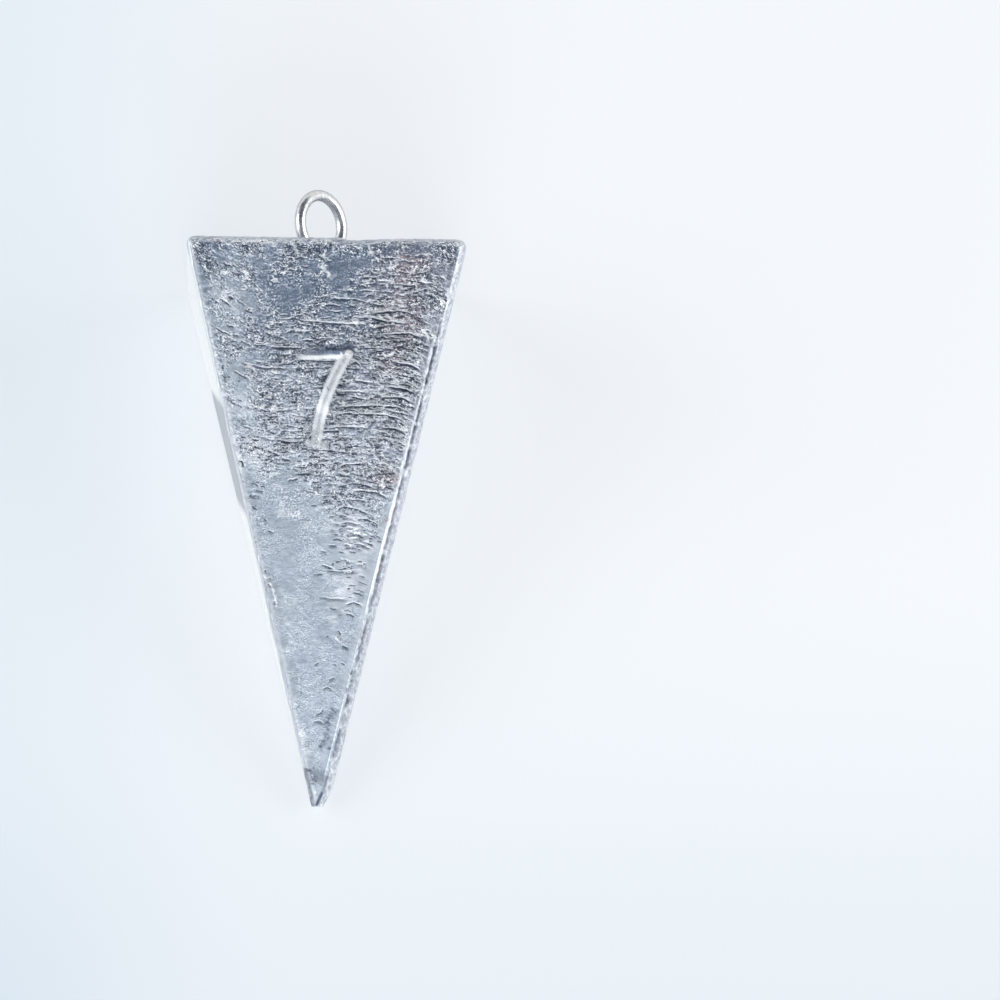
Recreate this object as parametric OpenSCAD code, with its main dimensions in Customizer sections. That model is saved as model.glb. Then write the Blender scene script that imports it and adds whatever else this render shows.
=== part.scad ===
// Seven ounce pyramid sinker, lying on one side face: a cast lead pyramid with a wire eye in its base.
// Millimetres, +Z up, +Y towards the eye. The casting is drawn with its axis upright and its base at
// zero, the nose below and the numbered face to the front, and is then laid down as it rests.

/* [Casting] */
// Width of the square base
base_width = 29.5; // [22:0.5:40]
// Length of the full taper, from the base to the point where the four sides would meet
taper_length = 61.6; // [45:0.1:90]
// Radius of the rounded rim round the base
rim_radius = 0.9; // [0.4:0.1:2]

/* [Nose] */
// How much of the sharp point is missing
nose_setback = 3.6; // [2.5:0.1:6]
// Length over which the underside sweeps up to the nose
sweep_length = 5.5; // [3:0.1:8]
// Thickness left at the end of the nose
nose_thickness = 0.5; // [0.3:0.05:0.9]
// Length over which the right flank turns in to the nose
trim_length = 3.4; // [2:0.1:6]
// Distance of the trimmed flank from the axis at the end of the nose
trim_reach = 0.35; // [0.2:0.05:0.6]

/* [Long edges] */
// Width of the two broad bevels where they leave the base
band_at_base = 0.7; // [0.3:0.05:1.2]
// Width of the same bevels at the end of the nose
band_at_nose = 0.75; // [0.6:0.05:1.4]
// Width of the narrow bevel on the two edges where the mould parts
seam_bevel = 0.3; // [0.1:0.05:0.45]

/* [Numbered face] */
// Depth of the shallow panel below its rim
panel_depth = 0.2; // [0.1:0.05:0.5]
// Width of the panel's rim beside the mould's parting edge
rim_seam = 0.45; // [0.3:0.05:1]
// Width of the panel's rim beside the broad bevel
rim_band = 0.35; // [0.2:0.05:1]
// Width of the panel's rim below the rounded base
rim_base = 1.35; // [0.5:0.05:2]

/* [Numeral] */
// Distance of the numeral's crossbar below the base, along the face
numeral_drop = 12.3; // [8:0.1:20]
// Length of the crossbar
bar_length = 5.8; // [4:0.1:8]
// How far the crossbar reaches to the right of the middle of the face
bar_reach = 2.6; // [1.5:0.1:4]
// Width of the numeral's strokes at the face
stroke_width = 1.1; // [0.6:0.05:1.6]
// Height of the strokes above the panel
stroke_height = 0.45; // [0.2:0.05:0.5]
// Radius of the stem's gentle bow
stem_radius = 21; // [15:0.5:45]
// Lean of the stem from upright at its top, in degrees
lean_at_top = 32; // [20:0.5:40]
// Lean of the stem from upright at its foot, in degrees
lean_at_foot = 5; // [2:0.5:15]
// Length of the small cross stroke at the foot
serif_length = 1.6; // [0.8:0.1:2.5]
// Width of the same cross stroke at the face
serif_width = 0.7; // [0.4:0.05:1]

/* [Wire eye] */
// Diameter of the wire
wire_dia = 1.2; // [0.8:0.05:2]
// Clear width inside the loop
loop_clear = 5.15; // [4:0.05:9]
// Height of the loop's centre above the base
loop_rise = 4.1; // [3.6:0.05:6.5]
// How far the loop closes below its middle before the wire turns back down, in degrees
neck_turn = 40; // [25:1:45]
// Radius of that turn, at the wire's middle
neck_radius = 1.5; // [1:0.1:2.5]
// Turn of the loop about the sinker's axis, in degrees
loop_turn = 45; // [0:5:90]
// How far the eye sits left of the middle of the base
eye_offset = 0.35; // [0:0.05:1]
// Depth of the straight legs in the lead
leg_depth = 7; // [4:0.5:12]
// Radius of the bend that splays each leg's end, at the wire's middle
foot_radius = 1.8; // [1:0.1:3]
// Splay of each leg's end from straight down, in degrees
foot_splay = 60; // [20:5:80]
// Straight length of each splayed end
foot_length = 2; // [1:0.5:4]
// Clearance between the wire and the lead cast round it
cast_gap = 0.02; // [0.01:0.01:0.05]

/* [Hidden] */
$fn = 64;
// Steps in each rounded corner and in each curve of the nose
arc_steps = 8;
// Overrun of every cut past the surface that it opens
overrun = 2;
// The curves of the nose start along the flank and bend away from it by this power of the way
bend_power = 2;
// How much a bend of the wire swells at the radius, and how far the bend laps what it joins, in degrees
bend_swell = 0.003;
bend_lap = 1;

half_base = base_width / 2;
half_angle = atan(half_base / taper_length);
nose_end = taper_length - nose_setback;
sweep_start = nose_end - sweep_length;
trim_start = nose_end - trim_length;

// Half width of the sharp pyramid at a depth below its base
function half_at(depth) = half_base * (1 - depth / taper_length);
// Width of a broad bevel at a depth below the base
function band_at(depth) = band_at_base + (band_at_nose - band_at_base) * depth / nose_end;
// Depth below the base that a distance along a face reaches
function depth_of(along) = along * cos(half_angle);

// Rounded corner between the base and a flank, for the left (-1) or the right (1)
rim_centre = half_base - rim_radius * (1 + sin(half_angle)) / cos(half_angle);
function rim_corner(side) = [
    for (i = [0 : arc_steps])
        let (turn = (90 + half_angle) * i / arc_steps - half_angle)
        [side * (rim_centre + rim_radius * cos(turn)), rim_radius * (sin(turn) - 1)]
];
function backwards(list) = [for (i = [len(list) - 1 : -1 : 0]) list[i]];
// A flank that bends in by the given amount between two depths
function bent_flank(start, amount) = [
    for (i = [0 : arc_steps])
        let (way = i / arc_steps, depth = start + (nose_end - start) * way)
        [half_at(depth) - amount * pow(way, bend_power), -depth]
];

trim_amount = half_at(nose_end) - trim_reach;
sweep_amount = 2 * half_at(nose_end) - nose_thickness;
front_outline = concat(
    rim_corner(1),
    backwards(rim_corner(-1)),
    [[-half_at(nose_end), -nose_end]],
    backwards(bent_flank(trim_start, trim_amount))
);
side_outline = concat(
    rim_corner(1),
    backwards(rim_corner(-1)),
    [[-half_at(nose_end), -nose_end]],
    backwards(bent_flank(sweep_start, sweep_amount))
);

// Ridge of a stroke: a round bar sunk into the panel until its width there is the stroke's
stroke_radius = (pow(stroke_width / 2, 2) + pow(stroke_height, 2)) / (2 * stroke_height);
stroke_sink = stroke_radius - stroke_height;
serif_radius = (pow(serif_width / 2, 2) + pow(stroke_height, 2)) / (2 * stroke_height);
serif_sink = serif_radius - stroke_height;
stem_top = bar_reach - stroke_width / 3;

wire_radius = wire_dia / 2;
loop_radius = loop_clear / 2 + wire_radius;
neck_reach = loop_radius + neck_radius;
leg_half = neck_reach * cos(neck_turn) - neck_radius;
leg_top = loop_rise - neck_reach * sin(neck_turn);

// Reach of the laid part along Y, from the nose to the top of the loop
reach_back = -nose_end * cos(half_angle) - half_at(nose_end) * sin(half_angle);
loop_lean = sin(half_angle) * cos(loop_turn);
reach_front = loop_rise * cos(half_angle) + loop_radius * sqrt(1 - pow(loop_lean, 2)) + wire_radius;

// Lays the upright casting on its back face, centred along Y
module laid() {
    translate([0, -(reach_back + reach_front) / 2, half_base * cos(half_angle)])
        rotate([half_angle - 90, 0, 0])
            children();
}

// The tapered block: what the front view and the side view have in common
module tapered_block() {
    intersection() {
        rotate([90, 0, 0])
            linear_extrude(height = base_width + 2 * overrun, center = true)
                polygon(front_outline);
        rotate([90, 0, 90])
            linear_extrude(height = base_width + 2 * overrun, center = true)
                polygon(side_outline);
    }
}

// What comes off one long edge: the side of a plane whose bevel has these widths at base and nose
module edge_cut(turn, at_base, at_nose) {
    reach_at_base = (2 * half_base - at_base) / sqrt(2);
    reach_at_nose = (2 * half_at(nose_end) - at_nose) / sqrt(2);
    slope = (reach_at_base - reach_at_nose) / nose_end;
    rotate([0, 0, turn])
        rotate([90, 0, 0])
            linear_extrude(height = base_width, center = true)
                polygon([
                    [reach_at_base + slope * overrun, overrun],
                    [reach_at_base + base_width, overrun],
                    [reach_at_base + base_width, -nose_end - overrun],
                    [reach_at_nose - slope * overrun, -nose_end - overrun]
                ]);
}

// Puts what is drawn flat on the numbered face: X to its right, Y to the base, Z out of it
module on_face(height) {
    translate([0, -half_base, 0])
        rotate([90 + half_angle, 0, 0])
            translate([0, 0, height])
                children();
}

// Outline of the panel, inside its four rims
module panel_outline() {
    top = rim_base;
    bottom = trim_start / cos(half_angle);
    polygon([
        for (end = [[top, -1], [bottom, -1], [bottom, 1], [top, 1]])
            let (depth = depth_of(end[0]), inset = end[1] < 0 ? rim_seam : band_at(depth) + rim_band)
            [end[1] * (half_at(depth) - inset), -end[0]]
    ]);
}

// The numeral: a straight crossbar, a bowed stem and a short stroke across the stem's foot
module numeral() {
    bow_centre = [
        stem_top + stem_radius * cos(lean_at_top),
        -numeral_drop - stem_radius * sin(lean_at_top)
    ];
    foot = bow_centre + stem_radius * [-cos(lean_at_foot), sin(lean_at_foot)];
    translate([bar_reach - bar_length, -numeral_drop, -stroke_sink])
        rotate([0, 90, 0])
            cylinder(r = stroke_radius, h = bar_length);
    translate([bow_centre[0], bow_centre[1], -stroke_sink])
        rotate([0, 0, 180 - lean_at_top])
            rotate_extrude(angle = lean_at_top - lean_at_foot)
                translate([stem_radius, 0])
                    circle(r = stroke_radius);
    translate([foot[0], foot[1], -serif_sink])
        rotate([0, 90, -lean_at_foot])
            cylinder(r = serif_radius, h = serif_length, center = true);
}

// Draws in the plane of the loop: X across it, Y up the sinker's axis
module in_loop_plane() {
    translate([-eye_offset, 0, 0])
        rotate([0, 0, loop_turn])
            rotate([90, 0, 0])
                children();
}

// A bend of the wire in the loop's plane, lapping the straighter runs at both its ends
module wire_bend(centre, radius, start, turn, gap) {
    translate([centre[0], centre[1], 0])
        rotate([0, 0, start - bend_lap])
            rotate_extrude(angle = turn + 2 * bend_lap)
                translate([radius, 0])
                    circle(r = wire_radius + bend_swell + gap);
}

// One leg from the neck down, with its splayed end, at a wire radius that is the wire's own plus a gap
module wire_leg(gap) {
    thick = wire_radius + gap;
    bend = [leg_half + foot_radius, -leg_depth];
    heel = bend - foot_radius * [cos(foot_splay), sin(foot_splay)];
    translate([leg_half, -leg_depth, 0])
        rotate([-90, 0, 0])
            cylinder(r = thick, h = leg_depth + leg_top);
    wire_bend(bend, foot_radius, 180, foot_splay, gap);
    translate([heel[0], heel[1], 0])
        rotate([0, 0, foot_splay])
            rotate([90, 0, 0])
                cylinder(r = thick, h = foot_length + gap);
}

module wire_legs(gap) {
    wire_leg(gap);
    mirror([1, 0, 0])
        wire_leg(gap);
}

module wire_loop() {
    translate([0, loop_rise, 0])
        rotate([0, 0, -neck_turn])
            rotate_extrude(angle = 180 + 2 * neck_turn)
                translate([loop_radius, 0])
                    circle(r = wire_radius);
}

module wire_neck() {
    neck = neck_reach * [cos(neck_turn), -sin(neck_turn)] + [0, loop_rise];
    wire_bend(neck, neck_radius, 180 - neck_turn, neck_turn, 0);
}

// The lead casting: bevelled edges, sunk panel, raised numeral and the wire's own cavity
module lead_body() {
    color("slategray")
        laid()
            difference() {
                union() {
                    difference() {
                        tapered_block();
                        for (side = [0, 180]) {
                            edge_cut(side - 45, band_at_base, band_at_nose);
                            edge_cut(side + 45, seam_bevel, seam_bevel);
                        }
                        on_face(-panel_depth)
                            linear_extrude(height = panel_depth + overrun)
                                panel_outline();
                    }
                    on_face(-panel_depth)
                        numeral();
                }
                in_loop_plane()
                    wire_legs(cast_gap);
            }
}

// The eye: one wire, looped above the base and splayed at both ends inside the lead
module wire_eye() {
    color("gainsboro")
        laid()
            in_loop_plane() {
                wire_loop();
                wire_neck();
                mirror([1, 0, 0])
                    wire_neck();
                wire_legs(0);
            }
}

lead_body();
wire_eye();
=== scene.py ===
# %% [markdown]
# # A cast lead pyramid sinker with a wire eye
# The real thing is one pour of lead round a bent wire, and it has no coat, so all of its character
# is in the skin that the lead took in its mould: wrinkles, a raised numeral, a sunk panel and worn
# edges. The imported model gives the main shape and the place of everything. This lesson dresses
# it: it carves a finer casting out of a cube, sweeps the wire as a smooth tube, and mixes metals.

# %% Load the frame
import math
import random

import bmesh
import bpy
import numpy as np
from mathutils import Matrix, Vector, noise


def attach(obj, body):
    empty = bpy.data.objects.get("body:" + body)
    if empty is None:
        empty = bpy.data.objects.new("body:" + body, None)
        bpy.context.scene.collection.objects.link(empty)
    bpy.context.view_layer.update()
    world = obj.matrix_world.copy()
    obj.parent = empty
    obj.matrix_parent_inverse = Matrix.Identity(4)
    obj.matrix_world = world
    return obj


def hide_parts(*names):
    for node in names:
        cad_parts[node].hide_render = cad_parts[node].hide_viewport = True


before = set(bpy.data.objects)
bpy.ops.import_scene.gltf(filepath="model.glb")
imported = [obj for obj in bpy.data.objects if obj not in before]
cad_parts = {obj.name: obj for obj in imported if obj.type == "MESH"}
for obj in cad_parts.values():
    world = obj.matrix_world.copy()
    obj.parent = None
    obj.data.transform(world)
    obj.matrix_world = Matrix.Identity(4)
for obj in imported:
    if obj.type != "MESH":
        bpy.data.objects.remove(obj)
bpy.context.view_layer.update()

# %% [markdown]
# ## Sizes
# The casting is easiest to think of upright, as it is poured: its axis along Z, the base at zero,
# the nose below and the numbered face to the front. These sizes are those of the solid model, in
# millimetres. One matrix at the end lays the casting down on its back face, in metres.

# %% Sizes of the casting
BASE_WIDTH = 29.5
TAPER_LENGTH = 61.6
NOSE_SETBACK = 3.6
RIM_RADIUS = 0.9
SWEEP_LENGTH, NOSE_THICKNESS = 5.5, 0.5
TRIM_LENGTH, TRIM_REACH = 3.4, 0.35
BAND_AT_BASE, BAND_AT_NOSE, SEAM_BEVEL = 0.7, 0.75, 0.3
HALF_BASE = BASE_WIDTH / 2
NOSE_END = TAPER_LENGTH - NOSE_SETBACK
LEAN = math.atan(HALF_BASE / TAPER_LENGTH)
COS, SIN = math.cos(LEAN), math.sin(LEAN)


def half_at(depth):
    """Half width of the sharp pyramid at a depth below its base."""
    return HALF_BASE * (1 - depth / TAPER_LENGTH)


HALF_NOSE = half_at(NOSE_END)
print("lean of each side:", round(math.degrees(LEAN), 3), "degrees")

# %% Sizes of the wire
WIRE_RADIUS, LOOP_CLEAR = 0.6, 5.15
LOOP_RADIUS = LOOP_CLEAR / 2 + WIRE_RADIUS
LOOP_RISE = 4.1
NECK_TURN, NECK_RADIUS = math.radians(40), 1.5
LOOP_TURN = math.radians(45)
EYE_OFFSET = 0.35
NECK_REACH = LOOP_RADIUS + NECK_RADIUS
LEG_HALF = NECK_REACH * math.cos(NECK_TURN) - NECK_RADIUS
LEG_TOP = LOOP_RISE - NECK_REACH * math.sin(NECK_TURN)
LEG_DEPTH = 7.0
FOOT_RADIUS, FOOT_SPLAY, FOOT_LENGTH = 1.8, math.radians(60), 2.0

# %% Lay the upright drawing down
MM = 0.001
reach_back = -NOSE_END * COS - HALF_NOSE * SIN
loop_reach = LOOP_RADIUS * math.sqrt(1 - (SIN * math.cos(LOOP_TURN)) ** 2)
reach_front = LOOP_RISE * COS + loop_reach + WIRE_RADIUS
LAID = (
    Matrix.Scale(MM, 4)
    @ Matrix.Translation((0, -(reach_back + reach_front) / 2, HALF_BASE * COS))
    @ Matrix.Rotation(LEAN - math.pi / 2, 4, "X")
)
print("base centre, laid, in mm:", [round(1000 * x, 3) for x in LAID.translation])

# %% [markdown]
# ## Camera
# The photograph looks down on the numbered face from about half a metre, with a long lens, so the
# taper looks the same near and far. The sinker stands left of the middle of the picture, its axis
# upright in it. The place and the turn come from matching the casting's own corners.


# %% Camera
def add_object(name, data):
    """A new object in the scene."""
    made = bpy.data.objects.new(name, data)
    bpy.context.scene.collection.objects.link(made)
    return made


camera = add_object("camera", bpy.data.cameras.new("camera"))
camera.data.lens, camera.data.sensor_width = 180, 36
camera.data.clip_start, camera.data.clip_end = 0.01, 20
camera.location = (-0.010256, -0.197911, 0.498143)
camera.rotation_mode = "QUATERNION"
camera.rotation_quaternion = (0.9812802, 0.1905315, -0.0280501, 0.0002679)
bpy.context.scene.camera = camera
bpy.context.scene.view_settings.view_transform = "Standard"

# %% [markdown]
# ## Nodes without the typing
# A material is a small network. These helpers add one node, set its named inputs, and wire
# whatever is a socket. A socket knows its own network, so most helpers need not be told of it.


# %% Node helpers
def is_socket(value):
    """Whether a value is an end of a link."""
    return isinstance(value, bpy.types.NodeSocket)


def fill(made, inputs):
    """Fills a node's inputs: a socket is wired, and anything else is typed in."""
    for name, value in inputs.items():
        if is_socket(value):
            made.id_data.links.new(value, made.inputs[name])
        else:
            made.inputs[name].default_value = value


def node(tree, kind, inputs=None, **settings):
    """Adds a node, sets its properties and fills its inputs."""
    made = tree.nodes.new(kind)
    for name, value in settings.items():
        setattr(made, name, value)
    fill(made, inputs or {})
    return made


def arithmetic(operation):
    """Makes a helper for one kind of arithmetic, on a socket and a value."""

    def work_out(a, b=0.0, clamp=False):
        settings = {"operation": operation, "use_clamp": clamp}
        return node(a.id_data, "ShaderNodeMath", {0: a, 1: b}, **settings).outputs[0]

    return work_out


plus, minus, times, size_of = map(arithmetic, ("ADD", "SUBTRACT", "MULTIPLY", "ABSOLUTE"))


def fade(value, start, end, low=0.0, high=1.0):
    """A smooth step from low to high as the value goes from start to end."""
    inputs = {"Value": value, "From Min": start, "From Max": end, "To Min": low, "To Max": high}
    made = node(value.id_data, "ShaderNodeMapRange", inputs, interpolation_type="SMOOTHSTEP")
    return made.outputs["Result"]


def blend(factor, a, b):
    """Mixes two colours, each a socket or its red, green and blue."""
    a, b = (value if is_socket(value) else (*value, 1) for value in (a, b))
    made = node(factor.id_data, "ShaderNodeMix", {0: factor, 6: a, 7: b}, data_type="RGBA")
    return made.outputs[2]


def new_material(name):
    """An empty material and its network."""
    made = bpy.data.materials.new(name)
    made.use_nodes = True
    return made, made.node_tree


# %% [markdown]
# ## Floor and light
# The photograph was taken on a white sweep under broad soft lights. A tinted floor gives the pale
# ground, with painted shade towards its left, its near side and one corner, and the world is a
# light
# tent: bright all round, and dark from overhead back to the wire's side, where nothing stands.
# Slopes that face the nose then shine, and slopes that face the wire go dark, which together with
# the painted highlights and shade in the lead's colour draws the numeral and every wrinkle in bare
# metal.

# %% Floor
FLOOR_HALF = 1.5
floor_mesh = bpy.data.meshes.new("floor")
floor_build = bmesh.new()
bmesh.ops.create_grid(floor_build, x_segments=2, y_segments=2, size=FLOOR_HALF)
floor_build.to_mesh(floor_mesh)
floor_build.free()
floor = add_object("floor", floor_mesh)

floor_material, tree = new_material("white_sweep")
place = node(tree, "ShaderNodeTexCoord").outputs["Object"]
split = node(tree, "ShaderNodeSeparateXYZ", {"Vector": place}).outputs
# Painted shade: the floor's colour darkens to the left, on the near side and most in the lower
# left corner, and the glow that the camera and reflections see carries that shade too
leftward, nearer = fade(split["X"], 0.0, -0.04), fade(split["Y"], 0.0, -0.06)
far_painted_shade = blend(leftward, (0.90, 0.93, 0.955), (0.78, 0.85, 0.90))
near_painted_shade = blend(leftward, (0.79, 0.84, 0.88), (0.735, 0.80, 0.86))
corner = times(fade(split["X"], -0.01, -0.045), fade(split["Y"], -0.025, -0.065))
painted_floor_shade = blend(corner, blend(nearer, far_painted_shade, near_painted_shade), (0.66, 0.75, 0.82))
shader = tree.nodes["Principled BSDF"]
fill(shader, {"Base Color": painted_floor_shade, "Roughness": 0.9, "Specular IOR Level": 0.1})
ray = node(tree, "ShaderNodeLightPath").outputs
seen = plus(ray["Is Camera Ray"], ray["Is Glossy Ray"])
seen = plus(seen, ray["Is Transmission Ray"], clamp=True)
glow = node(tree, "ShaderNodeEmission", {"Color": painted_floor_shade, "Strength": 1.0})
surfaces = {0: times(seen, 0.6), 1: shader.outputs[0], 2: glow.outputs[0]}
mixed = node(tree, "ShaderNodeMixShader", surfaces)
fill(tree.nodes["Material Output"], {"Surface": mixed.outputs[0]})
floor_mesh.materials.append(floor_material)

# %% World
world = bpy.data.worlds.new("light_tent")
bpy.context.scene.world = world
world.use_nodes = True
tree = world.node_tree
direction = node(tree, "ShaderNodeTexCoord").outputs["Generated"]
height = node(tree, "ShaderNodeSeparateXYZ", {"Vector": direction}).outputs["Z"]
towards_dark = {0: direction, 1: (0.0, 0.5, 0.866)}
overhead = node(tree, "ShaderNodeVectorMath", towards_dark, operation="DOT_PRODUCT")
dimmed = times(fade(overhead.outputs["Value"], 0.1, 0.85), fade(height, 0.3, 0.65))
tent = blend(dimmed, (0.97, 0.985, 1.0), (0.13, 0.15, 0.19))
fill(tree.nodes["Background"], {"Color": tent, "Strength": 1.0})


# %% Lamps
def softbox(name, place, size, watts, colour):
    """A square soft lamp that faces the sinker."""
    data = bpy.data.lights.new(name, "AREA")
    data.size, data.energy, data.color = size, watts, colour
    lamp = add_object(name, data)
    lamp.location = place
    lamp.rotation_mode = "QUATERNION"
    lamp.rotation_quaternion = Vector(place).to_track_quat("Z", "Y")


softbox("lamp_left", (-0.5, 0.0, 0.35), 0.45, 1.7, (0.98, 0.99, 1.0))
softbox("lamp_right", (0.55, -0.05, 0.3), 0.4, 1.5, (1.0, 1.0, 1.0))
softbox("lamp_nose", (0.0, -0.6, 0.3), 0.4, 2.0, (1.0, 1.0, 1.0))

# %% [markdown]
# ## The casting's blank
# A pyramid with its point missing is a cube with one end squeezed. Planes then shave its four long
# edges, as the cutter of the mould did: two broad bevels, and two thin ones where the mould parts.
# Each face carries the number of its side, so that later steps know which skin they work on.


# %% Sides of the casting
def side_plane(across, front):
    """Normal and reach of one of the four big sides."""
    return Vector((across * COS, front * COS, -SIN)), HALF_BASE * COS


def bevel_plane(across, front, at_base, at_nose):
    """Normal and reach of the plane that shaves one long edge."""
    reach_base = (2 * HALF_BASE - at_base) / math.sqrt(2)
    reach_nose = (2 * HALF_NOSE - at_nose) / math.sqrt(2)
    slope = (reach_base - reach_nose) / NOSE_END
    normal = Vector((across / math.sqrt(2), front / math.sqrt(2), -slope))
    return normal.normalized(), reach_base / normal.length


BEVELS = {
    "front_band": bevel_plane(1, -1, BAND_AT_BASE, BAND_AT_NOSE),
    "back_band": bevel_plane(-1, 1, BAND_AT_BASE, BAND_AT_NOSE),
    "front_seam": bevel_plane(-1, -1, SEAM_BEVEL, SEAM_BEVEL),
    "back_seam": bevel_plane(1, 1, SEAM_BEVEL, SEAM_BEVEL),
}
SIDES = {
    "numbered": side_plane(0, -1),
    "right": side_plane(1, 0),
    "back": side_plane(0, 1),
    "left": side_plane(-1, 0),
    **BEVELS,
    "base": (Vector((0, 0, 1)), 0.0),
    "tip": (Vector((0, 0, -1)), NOSE_END),
}
SIDE_NAMES = list(SIDES)
NORMALS = {name: np.array(normal) for name, (normal, _) in SIDES.items()}

# %% Squeeze a cube and shave its edges
casting = bmesh.new()
side_layer = casting.faces.layers.int.new("side")
bmesh.ops.create_cube(casting, size=1)
bmesh.ops.translate(casting, verts=casting.verts, vec=(0, 0, -0.5))
bmesh.ops.scale(casting, verts=casting.verts, vec=(BASE_WIDTH, BASE_WIDTH, NOSE_END))
nose_corners = [v for v in casting.verts if v.co.z < -1]
squeeze = HALF_NOSE / HALF_BASE
bmesh.ops.scale(casting, verts=nose_corners, vec=(squeeze, squeeze, 1))
for normal, reach in BEVELS.values():
    whole = casting.verts[:] + casting.edges[:] + casting.faces[:]
    cut = bmesh.ops.bisect_plane(
        casting, geom=whole, plane_co=normal * reach, plane_no=normal, clear_outer=True
    )
    rim = [g for g in cut["geom_cut"] if isinstance(g, bmesh.types.BMEdge)]
    bmesh.ops.contextual_create(casting, geom=rim)
bmesh.ops.recalc_face_normals(casting, faces=casting.faces)
for face in casting.faces:
    face.normal_update()
    likeness = [face.normal.dot(normal) for normal, _ in SIDES.values()]
    face[side_layer] = likeness.index(max(likeness))
print("blank:", len(casting.faces), "faces, one on each side:", ", ".join(SIDE_NAMES))

# %% [markdown]
# ## Slices
# Carving needs points to move. Parallel planes slice each side coarsely, and subdividing then
# halves every edge, once on the plain sides and twice on the numbered side, down to an eighth of a
# millimetre. A plane stops at the side that it slices, so the casting stays closed.


# %% Slice one side
def faces_of(*names):
    """The faces of the named sides."""
    wanted = {SIDE_NAMES.index(name) for name in names}
    return [f for f in casting.faces if f[side_layer] in wanted]


def slice_faces(faces, normal, reaches, snap=1e-4):
    """Slices faces by parallel planes, at rising distances along their normal."""
    for reach in reaches:
        geometry = {item for face in faces for item in (face, *face.edges, *face.verts)}
        cut = bmesh.ops.bisect_plane(
            casting, geom=list(geometry), dist=snap, plane_co=normal * reach, plane_no=normal
        )
        faces_now = [g for g in cut["geom"] if isinstance(g, bmesh.types.BMFace)]
        faces = [f for f in faces_now if f.calc_center_median().dot(normal) > reach]


def steps(start, end, pitch):
    """Evenly spaced distances between two ends."""
    return list(np.linspace(start, end, round((end - start) / pitch) + 1)[1:-1])


def side_axes(name):
    """Directions across a side, and along it towards the base."""
    normal = SIDES[name][0]
    pole = Vector((0, 0, 1)) if abs(normal.z) < 0.9 else Vector((0, 1, 0))
    along = (pole - normal * normal.dot(pole)).normalized()
    return along.cross(normal), along


# %% Slice them all
FINE, PLAIN, BY_WIRE = 0.48, 1.0, 0.5
WIRE_PATCH = 4.0
RIM_STEPS = [1.25, 0.6, 0.25]
low_end, top_end = HALF_NOSE * SIN - NOSE_END * COS, HALF_BASE * SIN
fine_columns = steps(-HALF_BASE, HALF_BASE, FINE)
plain_columns = steps(-HALF_BASE, HALF_BASE, PLAIN)
plain_rows = steps(low_end, top_end - RIM_STEPS[0], PLAIN) + [top_end - r for r in RIM_STEPS]

FRONT_SIDES = ("numbered", "front_band", "front_seam")
across, along = side_axes("numbered")
slice_faces(faces_of("numbered"), across, fine_columns)
slice_faces(faces_of(*FRONT_SIDES), along, steps(low_end, top_end, FINE))
for name, strip in (("left", "back_band"), ("right", "back_seam"), ("back", "back")):
    across, along = side_axes(name)
    slice_faces(faces_of(name), across, plain_columns)
    slice_faces(faces_of(name, strip), along, plain_rows)

rim = [HALF_BASE - reach for reach in RIM_STEPS]
near_wire = list(np.arange(BY_WIRE / 2 - WIRE_PATCH, WIRE_PATCH, BY_WIRE))
inner = [reach for reach in steps(-rim[0], rim[0], PLAIN) if abs(reach) > WIRE_PATCH]
base_rows = sorted([-reach for reach in rim] + inner + near_wire + rim)


def front_strip(wanted=True):
    """The faces of the base beside the numbered face, or all its others."""
    return [f for f in faces_of("base") if (f.calc_center_median().y < -rim[0]) == wanted]


slice_faces(faces_of("base"), Vector((0, 1, 0)), base_rows)
slice_faces(front_strip(), Vector((1, 0, 0)), fine_columns)
slice_faces(front_strip(False), Vector((1, 0, 0)), base_rows)
print("sliced:", len(casting.faces), "faces")


# %% Halve the edges
def halve(faces):
    """Cuts every triangle of these faces into four."""
    edges = {edge for face in faces for edge in face.edges}
    bmesh.ops.subdivide_edges(casting, edges=list(edges), cuts=1, use_grid_fill=True)


def triangulate():
    """Splits every face into triangles."""
    bmesh.ops.triangulate(
        casting, faces=casting.faces, quad_method="BEAUTY", ngon_method="BEAUTY"
    )


triangulate()
halve(casting.faces)
triangulate()
halve(faces_of(*FRONT_SIDES) + front_strip())
print("halved:", len(casting.faces), "faces")

# %% [markdown]
# The panel's edges must stay crisp lines, so the numbered side is also cut along them. The step
# beside the broad bevel is the sharpest line of the casting, and gets a cut at each turn of its
# profile: the foot and the crest of the little lip, both sides of the groove and the bevel's edge.

# %% Cut along the panel's edges
LIP_FOOT, LIP_CREST, STEP_TOP, STEP_FOOT, GROOVE_END = 1.22, 1.0, 0.89, 0.77, 0.6
SEAM_TOP, SEAM_FOOT = 0.12, 0.26
SNAP, MERGE, SLIVER = 0.01, 0.02, 0.005


def edge_line(side, inset):
    """A plane standing on the numbered face, this far in from its sharp edge on one side."""
    top = Vector((side * (HALF_BASE - inset), -HALF_BASE, 0))
    foot = Vector((side * (HALF_NOSE - inset), -HALF_NOSE, -NOSE_END))
    normal = (top - foot).cross(SIDES["numbered"][0]).normalized()
    return normal, top.dot(normal)


for side, insets in (
    (1, (LIP_FOOT, LIP_CREST, STEP_TOP, STEP_FOOT, GROOVE_END)),
    (-1, (SEAM_FOOT, SEAM_TOP)),
):
    for inset in insets:
        normal, reach = edge_line(side, inset)
        slice_faces(faces_of("numbered"), normal, [reach], SNAP)
triangulate()
bmesh.ops.remove_doubles(casting, verts=casting.verts, dist=MERGE)
bmesh.ops.dissolve_degenerate(casting, edges=casting.edges, dist=SLIVER)
triangulate()
print("cut:", len(casting.verts), "points,", len(casting.faces), "triangles")

# %% [markdown]
# ## From slices to a mesh of points
# From here the shape is sculpted by moving points, many thousands at once, so the numbers go into
# arrays. Every point knows how far across (u) and how far below the base (w) it sits on the
# numbered face, because nearly all of the character is drawn there.

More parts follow.
